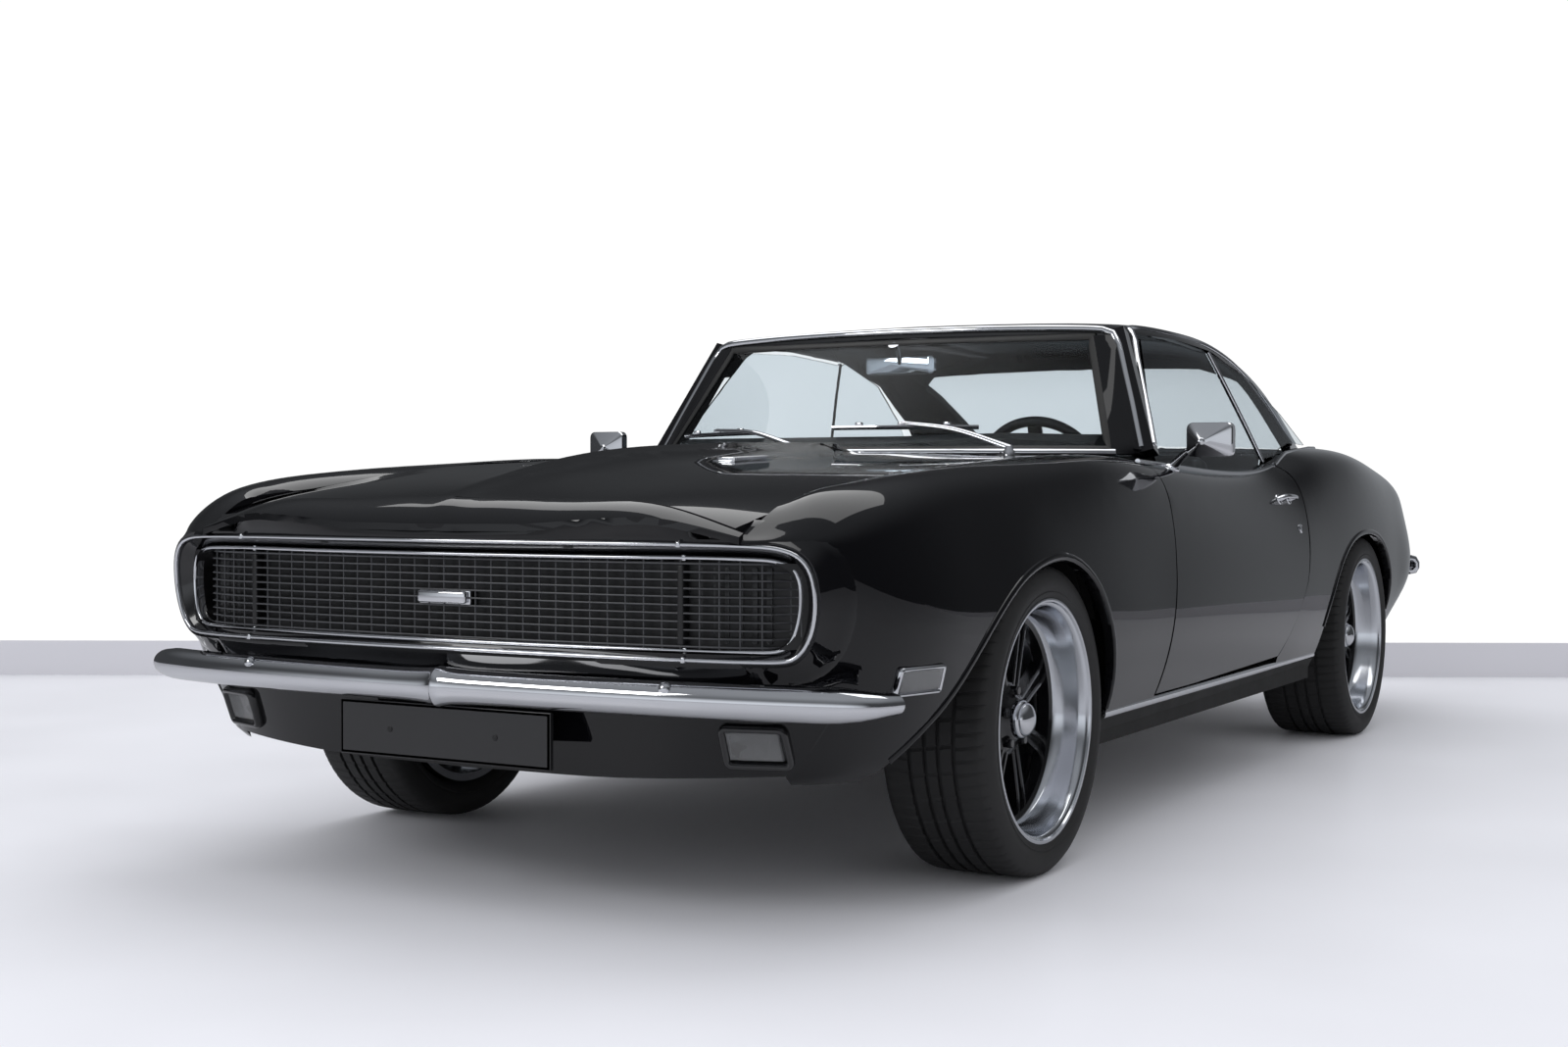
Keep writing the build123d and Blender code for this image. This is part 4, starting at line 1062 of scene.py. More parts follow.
# ------------------------------------------------------------------ wheels
@dataclass
class Wheels:
    """Rims and tyres that stand for the CAD ones.

    Args:
        lip: Radius of the rim lip.
        tyre: Radius of the tyre.
        pitches: Tread pitches round the tyre.
        pairs: Spoke pairs.
    """

    lip: float = 0.259
    tyre: float = 0.329
    pitches: int = 76
    pairs: int = 8

    def build(self) -> int:
        """Make the four wheels.

        Returns:
            How many wheels were made.
        """
        for corner, rim_x, width, axle in (("front", 0.888, 0.245, FRONT_AXLE),
                                           ("rear", 0.897, 0.275, REAR_AXLE)):
            for sign, side in ((1, "left"), (-1, "right")):
                body = f"wheel_{corner}_{side}"
                for part, mesh, finish, slot, node in (
                        ("tyre", self._tyre(rim_x, width), RUBBER, "tyre", f"tyre_{corner}_{side}"),
                        ("lip", self._barrel(rim_x, width), ALLOY, "rim", f"rim_{corner}_{side}"),
                        ("spokes", self._spokes(rim_x), GLOSS_BLACK, "rim", ""),
                        ("cap", self._cap(rim_x), CHROME, "rim", ""),
                        ("disc", self._disc(rim_x), STEEL, "steel_pipe", "")):
                    self._place(mesh, Vector(axle), sign, f"{body}_{part}", finish, body, node)
        return 4

    def _place(self, mesh: bmesh.types.BMesh, centre: Vector, sign: int, name: str, finish: Finish,
               body: str, node: str) -> None:
        """Move a wheel piece to its corner and let it ride.

        Args:
            mesh: The piece round the origin.
            centre: Where the axle is.
            sign: 1 for the left side, -1 for the right.
            name: Piece name.
            finish: Its finish.
            body: Body it rides on.
            node: CAD node it stands for, if any.
        """
        if sign < 0:
            bmesh.ops.scale(mesh, vec=(-1.0, 1.0, 1.0), verts=mesh.verts)
        bmesh.ops.translate(mesh, vec=centre, verts=mesh.verts)
        piece = new_object(name, mesh, finish, body, 34.0)
        if node:
            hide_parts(node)

    def _tyre(self, rim_x: float, width: float) -> bmesh.types.BMesh:
        """Turn a tyre and press its tread into it.

        Args:
            rim_x: Place of the rim's outer plane.
            width: Tyre width.

        Returns:
            The tyre round the origin.
        """
        outer, inner = rim_x + 0.006, rim_x + 0.006 - width
        lip, top = self.lip, self.tyre
        wall = [(0.030, lip - 0.012), (0.012, lip - 0.004), (0.004, lip + 0.004), (0.002, lip + 0.012),
                (0.0035, lip + 0.014), (0.0005, lip + 0.022), (0.0, lip + 0.034), (0.0025, lip + 0.045),
                (0.007, lip + 0.055)]
        tread = [(0.010, top - 0.011), (0.016, top - 0.005)]
        half = width / 2
        grooves = [(f * width, 0.0048) for f in (0.30, 0.44, 0.56, 0.70)]
        across = tread + [(0.026, top - 0.0018)]
        for middle, reach in grooves:
            drop = 0.0012 * (2 * (middle / width - 0.5)) ** 2
            level = top - drop
            across += [(middle - reach - 0.010, level), (middle - reach, level),
                       (middle - reach + 0.0012, level - 0.007), (middle + reach - 0.0012, level - 0.007),
                       (middle + reach, level), (middle + reach + 0.009, level)]
        across += [(width - 0.026, top - 0.0018), (width - 0.016, top - 0.005),
                   (width - 0.010, top - 0.011)]
        across = sorted(across)
        row = [(outer - a, r) for a, r in wall] + [(outer - a, r) for a, r in across] \
            + [(inner + a, r) for a, r in wall[::-1]]
        row += [(inner + 0.035, lip - 0.012), (outer - 0.035, lip - 0.012)]
        mesh = bmesh.new()
        turned(mesh, row + [row[0]], steps=self.pitches * 4)
        bmesh.ops.remove_doubles(mesh, verts=mesh.verts, dist=MERGE)
        pitch = 2 * math.pi / self.pitches
        for vert in mesh.verts:
            x, y, z = vert.co
            radius = math.hypot(y, z)
            if radius < top - 0.0125:
                continue
            angle = math.atan2(y, z)
            index = round(angle / (pitch / 4))
            part = index % 4
            place = abs((x - (outer - half)) / half)
            shoulder = place > 0.42
            shift = (0.0, 0.09, 0.13, 0.80)[part] - (0.0, 0.25, 0.5, 0.75)[part]
            lean = 0.030 * place ** 2 if shoulder else 0.055 * (x - (outer - half)) / half
            deep = part in (0, 1) and (shoulder or index % 8 < 2) and radius > top - 0.0060
            angle = index * pitch / 4 + shift * pitch + lean
            radius -= 0.0034 if deep else 0.0
            vert.co = (x, radius * math.sin(angle), radius * math.cos(angle))
        return mesh

    def _barrel(self, rim_x: float, width: float) -> bmesh.types.BMesh:
        """Turn the polished lip and the barrel.

        Args:
            rim_x: Place of the rim's outer plane.
            width: Tyre width.

        Returns:
            The barrel round the origin.
        """
        r = self.lip
        back = rim_x - width + 0.014
        row = [(rim_x - 0.014, r - 0.016), (rim_x - 0.010, r - 0.002), (rim_x - 0.004, r),
               (rim_x - 0.0005, r - 0.0015), (rim_x, r - 0.004), (rim_x - 0.0008, r - 0.0085),
               (rim_x - 0.005, r - 0.0105),
               (rim_x - 0.0065, r - 0.0145), (rim_x - 0.0085, r - 0.0165), (rim_x - 0.0125, r - 0.0185),
               (rim_x - 0.030, r - 0.0215), (rim_x - 0.052, r - 0.0255), (rim_x - 0.070, r - 0.030),
               (rim_x - 0.078, r - 0.0335), (rim_x - 0.082, r - 0.038), (rim_x - 0.120, r - 0.040),
               (back + 0.040, r - 0.038), (back, r - 0.034), (back, r - 0.016), (rim_x - 0.014, r - 0.016)]
        mesh = bmesh.new()
        turned(mesh, row, steps=128)
        return mesh

    def _spokes(self, rim_x: float) -> bmesh.types.BMesh:
        """Make the black centre: ring, paired spokes, hub and wheel nuts.

        Args:
            rim_x: Place of the rim's outer plane.

        Returns:
            The centre round the origin.
        """
        mesh = bmesh.new()
        r, face = self.lip, rim_x - 0.078
        turned(mesh, [(face - 0.002, r - 0.036), (face - 0.001, r - 0.040), (face - 0.006, r - 0.047),
                      (face - 0.030, r - 0.050), (face - 0.036, r - 0.044), (face - 0.036, r - 0.037),
                      (face - 0.002, r - 0.036)], steps=96)
        turned(mesh, [(face - 0.052, 0.0), (face - 0.052, 0.080), (face - 0.014, 0.080),
                      (face - 0.008, 0.075), (face - 0.004, 0.064), (face + 0.002, 0.050),
                      (face + 0.008, 0.045), (face + 0.010, 0.040), (face + 0.010, 0.0)], steps=64)
        stations = ((0.050, 0.0105, 0.0062, 0.0), (0.085, 0.0110, 0.0058, -0.001),
                    (0.130, 0.0125, 0.0054, -0.003), (0.180, 0.0145, 0.0054, -0.005),
                    (r - 0.044, 0.0175, 0.0062, -0.008))
        for i in range(self.pairs):
            turn = Matrix.Rotation(2 * math.pi * (i + 0.5) / self.pairs, 3, "X")
            for side in (-1, 1):
                rings = []
                for reach, offset, half, level in stations:
                    front, chamfer, deep = face - 0.006 + level, 0.0028, 0.030
                    ring = [(front - chamfer, -half), (front, -half + chamfer), (front, half - chamfer),
                            (front - chamfer, half), (front - deep, half * 0.75),
                            (front - deep, -half * 0.75)]
                    rings.append([turn @ Vector((x, side * offset + t, reach)) for x, t in ring])
                swept(mesh, rings)
            rings = [[turn @ Vector((face - 0.018 + level + dx, t * offset, reach))
                      for dx, t in ((0, -1), (0, 1), (-0.010, 1), (-0.010, -1))]
                     for reach, offset, _, level in stations]
            swept(mesh, rings)
        for i in range(5):
            angle = 2 * math.pi * i / 5
            turned(mesh, [(0.0, 0.0105), (0.016, 0.0105), (0.019, 0.0085), (0.019, 0.0)],
                   (face - 0.006, 0.060 * math.sin(angle), 0.060 * math.cos(angle)), (1, 0, 0), 6)
        return mesh

    def _cap(self, rim_x: float) -> bmesh.types.BMesh:
        """Turn the domed centre cap.

        Args:
            rim_x: Place of the rim's outer plane.

        Returns:
            The cap round the origin.
        """
        mesh = bmesh.new()
        face = rim_x - 0.070
        row = [(face, 0.0), (face, 0.041), (face + 0.012, 0.041), (face + 0.016, 0.039),
               (face + 0.018, 0.036)]
        row += [(face + 0.018 + 0.020 * math.sin(a), 0.036 * math.cos(a))
                for a in np.linspace(0.15, math.pi / 2, 9)]
        turned(mesh, row, steps=64)
        return mesh

    def _disc(self, rim_x: float) -> bmesh.types.BMesh:
        """Turn the brake disc.

        Args:
            rim_x: Place of the rim's outer plane.

        Returns:
            The disc round the origin.
        """
        mesh = bmesh.new()
        back = rim_x - 0.150
        turned(mesh, [(back, 0.085), (back, 0.150), (back + 0.003, 0.152), (back + 0.010, 0.152),
                      (back + 0.013, 0.150), (back + 0.013, 0.085), (back, 0.085)], steps=72)
        return mesh


# ------------------------------------------------------------------ body trim
@dataclass
class BodyTrim:
    """Mouldings, arch lips, louvres, wipers, mirrors and handles of the body.

    Args:
        front_arch: Side view of the front arch, as ends and middles of arcs.
        rear_arch: Side view of the rear arch.
        roof_line: Side view of the side window's upper edge.
        liner: Radii of a front wheel liner, at its roof and at its inner corner.
        liner_foot: Height down to which the liner's inner wall comes.
    """

    front_arch: Sequence[Pair] = (
        (-1.058, 0.320), (-1.062, 0.390), (-1.112, 0.510), (-1.216, 0.617), (-1.366, 0.665),
        (-1.570, 0.635), (-1.742, 0.546), (-1.915, 0.390), (-1.990, 0.310))
    rear_arch: Sequence[Pair] = (
        (0.816, 0.330), (0.830, 0.425), (0.930, 0.556), (1.090, 0.640), (1.294, 0.668),
        (1.480, 0.640), (1.620, 0.540), (1.704, 0.400))
    roof_line: Sequence[Pair] = (
        (-0.392, 0.925), (-0.300, 1.040), (-0.200, 1.165), (-0.140, 1.238), (-0.080, 1.2545),
        (0.160, 1.2565), (0.510, 1.2425), (0.800, 1.180), (1.040, 1.070), (1.180, 0.980), (1.225, 0.958))
    liner: Pair = (0.405, 0.390)
    liner_foot: float = 0.42

    def build(self) -> int:
        """Make all the trim.

        Returns:
            How many side mouldings were made.
        """
        count = self._side_lines()
        self._arches()
        self._glass_trim()
        self._louvres()
        self._wipers()
        self._mirrors()
        self._handles()
        self._tail()
        self._liners()
        return count

    def _liners(self) -> None:
        """Add the liners over the front wheels, wide enough for them to steer under."""
        mesh = bmesh.new()
        rings = []
        for angle in np.linspace(math.radians(14), math.radians(166), 27):
            out = Vector((0, math.cos(angle), math.sin(angle)))
            roof, corner = (Vector(FRONT_AXLE) + out * radius for radius in self.liner)
            rings.append([Vector((x, p.y, p.z)) for x, p in
                          ((0.838, roof), (0.700, roof), (0.492, roof), (0.480, corner))]
                         + [Vector((0.478, corner.y, z)) for z in
                            (corner.z * 0.6 + self.liner_foot * 0.4,
                             self.liner_foot + min(0.0, corner.z - 0.43))])
        swept(mesh, rings, cyclic=False)
        bmesh.ops.solidify(mesh, geom=mesh.faces[:], thickness=0.003)
        pair("wheel_liner", mesh, UNDERBODY, SHELL, "underbody", 40.0)

    def _side_lines(self) -> int:
        """Add drip rail, belt, rocker and quarter glass mouldings.

        Returns:
            How many were made.
        """
        probe = Probe("roof", "quarter_left", "fender_left", "door_left", "floor_pan", "cowl_panel")
        mesh = bmesh.new()
        line = resampled([(0, y, z) for y, z in self.roof_line], 0.04)
        hits = [probe.side(p.y, p.z + 0.008) for p in line]
        out = Vector((1.0, 0, 0.25)).normalized()
        path = [(p, out) for p, _ in filter(None, hits) if 0.55 < p.x < 0.80]
        strip(mesh, path, bead(0.015, 0.007, 0.004))
        pair("drip_moulding", mesh, CHROME, SHELL, "bright_chrome", 50.0)
        for name, first, last, bodies in (("belt_moulding", -0.585, 0.600, DOORS),
                                          ("belt_kick", 0.632, 1.215, SHELL)):
            mesh = bmesh.new()
            path = []
            for y in np.linspace(first, last, 26):
                x = 0.789 if y < 0.65 else 0.789 - 0.032 * min(1.0, (y - 0.65) / 0.25)
                hit = probe.top(x, float(y))
                if hit is not None and 0.852 < hit[0].z < 1.0:
                    path.append((hit[0], Vector((0.45, 0, 0.9)).normalized()))
            strip(mesh, path, bead(0.014, 0.007, 0.004))
            pair(name, mesh, CHROME, bodies, "bright_chrome", 50.0)
        mesh = bmesh.new()
        path = []
        for y in np.linspace(-1.050, 0.792, 40):
            hit = probe.side(float(y), 0.300)
            if hit is not None:
                path.append((Vector((hit[0].x, hit[0].y, 0.306)), Vector((1, 0, -0.15)).normalized()))
        strip(mesh, path, bead(0.022, 0.006, 0.003))
        pair("rocker_moulding", mesh, CHROME, SHELL, "bright_chrome", 50.0)
        mesh = bmesh.new()
        panes = ((1.250, 0.618), (1.120, 0.670), (1.000, 0.716), (0.880, 0.758))
        line = []
        for t in np.linspace(0, 1, 12):
            y, z = 0.486 + 0.152 * t, 1.228 - 0.328 * t
            x = float(np.interp(z, [p[0] for p in panes[::-1]], [p[1] for p in panes[::-1]]))
            line.append(Vector((x + 0.001, y, z)))
        tube(mesh, line, 0.0065, 12)
        pair("quarter_divider", mesh, CHROME, SHELL, "bright_chrome", 50.0)
        return 5

    def _arches(self) -> None:
        """Add the rolled lips of the wheel arches."""
        for name, chain, node in (("front_arch_lip", self.front_arch, "fender_left"),
                                  ("rear_arch_lip", self.rear_arch, "quarter_left")):
            probe = Probe(node)
            middle = sum(y for y, _ in chain) / len(chain)
            path = []
            for p in resampled([(0, y, z) for y, z in chain], 0.035):
                away = Vector((0, p.y - middle, p.z - 0.33)).normalized() * 0.009
                hit = probe.side(p.y + away.y, p.z + away.z)
                if hit is not None and hit[0].x > 0.80:
                    path.append((hit[0], Vector((1, 0, 0))))
            mesh = bmesh.new()
            strip(mesh, path, bead(0.017, 0.0045, 0.012))
            pair(name, mesh, PAINT, SHELL, "body_paint", 50.0)

    def _pane(self, s: float, k: float) -> Vector:
        """Give a point of the windshield's surface.

        Args:
            s: From -1 on the right edge to 1 on the left.
            k: From 0 at the bottom to 1 at the top.

        Returns:
            The point.
        """
        half = 0.703 - 0.131 * k
        return Vector((s * half, -0.785 + 0.437 * k + 0.306 * s * s * (1 - 0.84 * k), 0.892 + 0.341 * k))

    def _pane_spot(self, s: float, k: float) -> Spot:
        """Give a point of the windshield with its normal.

        Args:
            s: From -1 on the right edge to 1 on the left.
            k: From 0 at the bottom to 1 at the top.

        Returns:
            The point and its normal.
        """
        along = self._pane(s + 0.01, k) - self._pane(s - 0.01, k)
        up = self._pane(s, k + 0.01) - self._pane(s, k - 0.01)
        normal = along.cross(up).normalized()
        return self._pane(s, k), normal if normal.y < 0 else -normal

    def _glass_trim(self) -> None:
        """Add the bright surrounds of windshield and rear window."""
        probe = Probe("roof", "windshield")
        half = [(0.0, 1.2555), (0.30, 1.2530), (0.50, 1.2480), (0.585, 1.2425), (0.612, 1.2330),
                (0.633, 1.200), (0.664, 1.120), (0.695, 1.040), (0.722, 0.965), (0.737, 0.924)]
        edge = [(p.x, p.z) for p in resampled([(x, 0, z) for x, z in half], 0.03)]
        route = [(-x, z) for x, z in edge[::-1]] + edge[1:]
        path = [probe.front(x, z) for x, z in route]
        ahead = Vector((0, -0.94, 0.34))
        spots = [(p[0], ahead) for p in path if p and p[0].y < -0.20]
        mesh = bmesh.new()
        strip(mesh, spots, bead(0.019, 0.008, 0.010))
        foot = [self._pane_spot(float(s), 0.055) for s in np.linspace(-0.99, 0.99, 40)]
        strip(mesh, foot, bead(0.019, 0.008, 0.003))
        new_object("windshield_moulding", mesh, CHROME, "shell", 50.0)
        mesh = bmesh.new()
        rings = []
        for k in np.linspace(0.035, 0.975, 24):
            (inner, normal), (rim, _) = self._pane_spot(0.970, float(k)), self._pane_spot(1.0, float(k))
            x = float(np.interp(inner.z, [z for _, z in half[::-1]], [x for x, _ in half[::-1]])) + 0.004
            hit = probe.front(x, inner.z)
            outer = hit[0] if hit and hit[0].y < -0.20 else rings[-1][3]
            back = Vector((0, 0.016, 0))
            rings.append([inner + normal * 0.002, rim + normal * 0.004,
                          rim.lerp(outer, 0.6) + normal * 0.006, outer + Vector((0, -0.002, 0)),
                          outer + back, inner + back * 0.4])
        swept(mesh, rings)
        pair("pillar_cover", mesh, PAINT, SHELL, "body_paint", 35.0)
        ks, ss = np.linspace(0.075, 0.975, 12), np.linspace(-0.99, 0.99, 28)
        loop = [(s, 0.075) for s in ss] + [(0.99, k) for k in ks[1:-1]]
        loop += [(s, 0.975) for s in ss[::-1]] + [(-0.99, k) for k in ks[::-1][1:-1]]
        mesh = bmesh.new()
        inner = [self._pane_spot(float(s) * 0.985, float(k)) for s, k in loop]
        strip(mesh, inner, bead(0.026, 0.003, 0.003), closed=True)
        new_object("windshield_seal", mesh, SEAL, "shell", 50.0)
        probe = Probe("roof", "deck_filler")
        corners = [(-0.565, 1.57), (-0.572, 1.30), (-0.572, 1.00), (-0.478, 0.872), (-0.24, 0.872),
                   (0.0, 0.872), (0.24, 0.872), (0.478, 0.872), (0.572, 1.00), (0.572, 1.30), (0.565, 1.57)]
        path = [probe.top(p.x, p.y) for p in resampled([(x, y, 0) for x, y in corners], 0.04)]
        mesh = bmesh.new()
        strip(mesh, [p for p in path if p and p[0].z > 0.9], bead(0.018, 0.006, 0.004))
        new_object("rear_window_moulding", mesh, CHROME, "shell", 50.0)

    def _louvres(self) -> None:
        """Add the two finned hood ornaments and the cowl's air slots."""
        probe = Probe("hood")
        mesh = bmesh.new()
        base, fins = probe.top(0.185, -1.49), 17
        turn = Vector((0, 0, 1)).rotation_difference(base[1]).to_matrix().to_4x4()
        rounded_block(mesh, base[0] + base[1] * 0.0005, (0.058, 0.165, 0.006), 0.002, 2, turn)
        for i in range(fins):
            place = base[0] + turn @ Vector((0, (i - (fins - 1) / 2) * 0.0088, 0.0055))
            rounded_block(mesh, place, (0.048, 0.0036, 0.008), 0.0012, 2, turn)
        pair("hood_louvre", mesh, CHROME, ("hood", "hood"), "bright_chrome")
        probe = Probe("cowl_panel")
        mesh = bmesh.new()
        for i in range(9):
            x = 0.165 + i * 0.046
            path = [probe.top(x, y) for y in np.linspace(-0.772, -0.735, 4)]
            if all(path):
                strip(mesh, path, bead(0.010, 0.0015, 0.002))
        pair("cowl_slots", mesh, SATIN_BLACK, SHELL, "black_plastic", 50.0)

    def _wipers(self) -> None:
        """Add pivots, arms and blades of the wipers."""
        mesh = bmesh.new()
        probe = Probe("cowl_panel")
        for pivot, k_mid, ends in (((0.498, -0.715), 0.225, (-0.02, 0.55)),
                                   ((-0.105, -0.755), 0.20, (-0.86, -0.38))):
            foot = probe.top(*pivot)
            base = foot[0] if foot else Vector((*pivot, 0.905))
            turned(mesh, [(-0.004, 0.0), (-0.004, 0.017), (0.010, 0.015), (0.014, 0.011), (0.022, 0.010),
                          (0.026, 0.006), (0.027, 0.0)], base, (0, 0, 1), 24)
            blade = []
            for s in np.linspace(*ends, 9):
                point, normal = self._pane_spot(float(s), k_mid - 0.01)
                blade.append(point + normal * 0.014)
            tube(mesh, blade, 0.0045, 8, 1.6)
            middle = self._pane_spot((ends[0] + ends[1]) / 2, k_mid)
            grip = middle[0] + middle[1] * 0.026
            start = base + Vector((0, 0, 0.020))
            arm = resampled([start, start.lerp(grip, 0.5) + Vector((0, 0, 0.014)), grip], 0.03)
            tube(mesh, arm, [0.0085 - 0.0035 * i / (len(arm) - 1) for i in range(len(arm))], 10, 0.6)
            for f in (0.2, 0.5, 0.8):
                s = ends[0] + (ends[1] - ends[0]) * f
                point, normal = self._pane_spot(s, k_mid)
                rounded_block(mesh, point + normal * 0.020, (0.020, 0.010, 0.012), 0.002, 2)
        piece = new_object("wiper_set", mesh, CHROME, "shell", 40.0)
        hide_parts("wipers")

    def _mirrors(self) -> None:
        """Add the faceted door mirrors on their stalks."""
        mesh = bmesh.new()
        centre = Vector((0.926, -0.425, 0.942))
        rings = []
        for depth, size, drop in ((0.012, 0.93, 0.0), (0.008, 1.0, 0.0), (-0.012, 1.0, 0.0),
                                  (-0.016, 0.96, 0.0), (-0.046, 0.16, 0.006), (-0.050, 0.06, 0.006)):
            ring = frame_path((-0.060 * size, -0.043 * size), (0.060 * size, 0.043 * size), 0.016 * size)
            rings.append([centre + Vector((x - 0.012 * (1 - size), depth, z - drop)) for x, z in ring])
        swept(mesh, rings)
        pair("mirror_head", mesh, CHROME, DOORS, "bright_chrome", 16.0, "door_hardware")
        mesh = bmesh.new()
        ring = frame_path((-0.055, -0.038), (0.055, 0.038), 0.013)
        swept(mesh, [[centre + Vector((x, 0.0135, z)) for x, z in ring],
                     [centre + Vector((x, 0.0150, z)) for x, z in ring]])
        pair("mirror_glass", mesh, MIRROR, DOORS, "bright_chrome", 20.0)
        mesh = bmesh.new()
        foot = Vector((0.806, -0.372, 0.872))
        joint = centre + Vector((-0.011, -0.044, -0.006))
        line = resampled([foot, foot.lerp(joint, 0.45) + Vector((0, 0, 0.006)), joint], 0.02)
        tube(mesh, line, [0.012 - 0.004 * i / (len(line) - 1) for i in range(len(line))], 12)
        turned(mesh, [(-0.010, 0.0), (-0.010, 0.022), (0.002, 0.021), (0.008, 0.015), (0.011, 0.0)], foot,
               (0.4, 0, 0.9), 24)
        turned(mesh, [(-0.010, 0.0), (-0.006, 0.008), (0.0, 0.010), (0.006, 0.008), (0.010, 0.0)], joint,
               (0.3, -0.9, 0), 16)
        pair("mirror_stalk", mesh, CHROME, DOORS, "bright_chrome", 40.0)

    def _handles(self) -> None:
        """Add pull handles and round locks."""
        probe = Probe("door_left")
        mesh = bmesh.new()
        line = []
        for y, off in ((0.388, 0.001), (0.392, 0.012), (0.402, 0.021), (0.425, 0.024), (0.470, 0.023),
                       (0.500, 0.020), (0.512, 0.016)):
            point, normal = probe.side(y, 0.787)
            line.append(point + normal * off)
        tube(mesh, resampled(line, 0.008), 0.0085, 12, 0.75)
        for y, reach in ((0.398, 0.018), (0.486, 0.022)):
            point, normal = probe.side(y, 0.787)
            turned(mesh, [(-0.001, 0.0), (-0.001, 0.017), (0.003, 0.0155), (0.005, 0.009), (reach, 0.0075),
                          (reach, 0.0)], point, normal, 20)
        pair("pull_handle", mesh, CHROME, DOORS, "bright_chrome", 40.0)
        mesh = bmesh.new()
        point, normal = probe.side(0.527, 0.700)
        turned(mesh, [(-0.002, 0.0), (-0.002, 0.0145), (0.002, 0.0145), (0.0045, 0.011), (0.003, 0.008),
                      (0.004, 0.003), (0.004, 0.0)], point, normal, 24)
        pair("door_lock", mesh, CHROME, DOORS, "bright_chrome", 40.0)

    def _tail(self) -> None:
        """Add lamp frames, guards and pipe tips at the tail."""
        probe = Probe("tail_panel")
        mesh = bmesh.new()
        path = [probe.rear(x, z) for x, z in frame_path((0.292, 0.672), (0.568, 0.768), 0.010)]
        strip(mesh, [p for p in path if p], bead(0.013, 0.010), closed=True)
        for x in (0.384, 0.476):
            path = [probe.rear(x, z) for z in np.linspace(0.672, 0.768, 6)]
            strip(mesh, [(p + n * 0.0085, n) for p, n in filter(None, path)], bead(0.006, 0.004, 0.001))
        pair("tail_lamp_frame", mesh, CHROME, SHELL, "bright_chrome", 40.0)
        mesh = bmesh.new()
        turned(mesh, [(0.0, 0.024), (0.0, 0.030), (0.060, 0.032), (0.064, 0.0315), (0.064, 0.027),
                      (0.0, 0.024)], (0.42, 2.227, 0.2), (0, 1, 0), 40)
        pair("tailpipe_tip", mesh, CHROME, SHELL, "bright_chrome", 40.0)


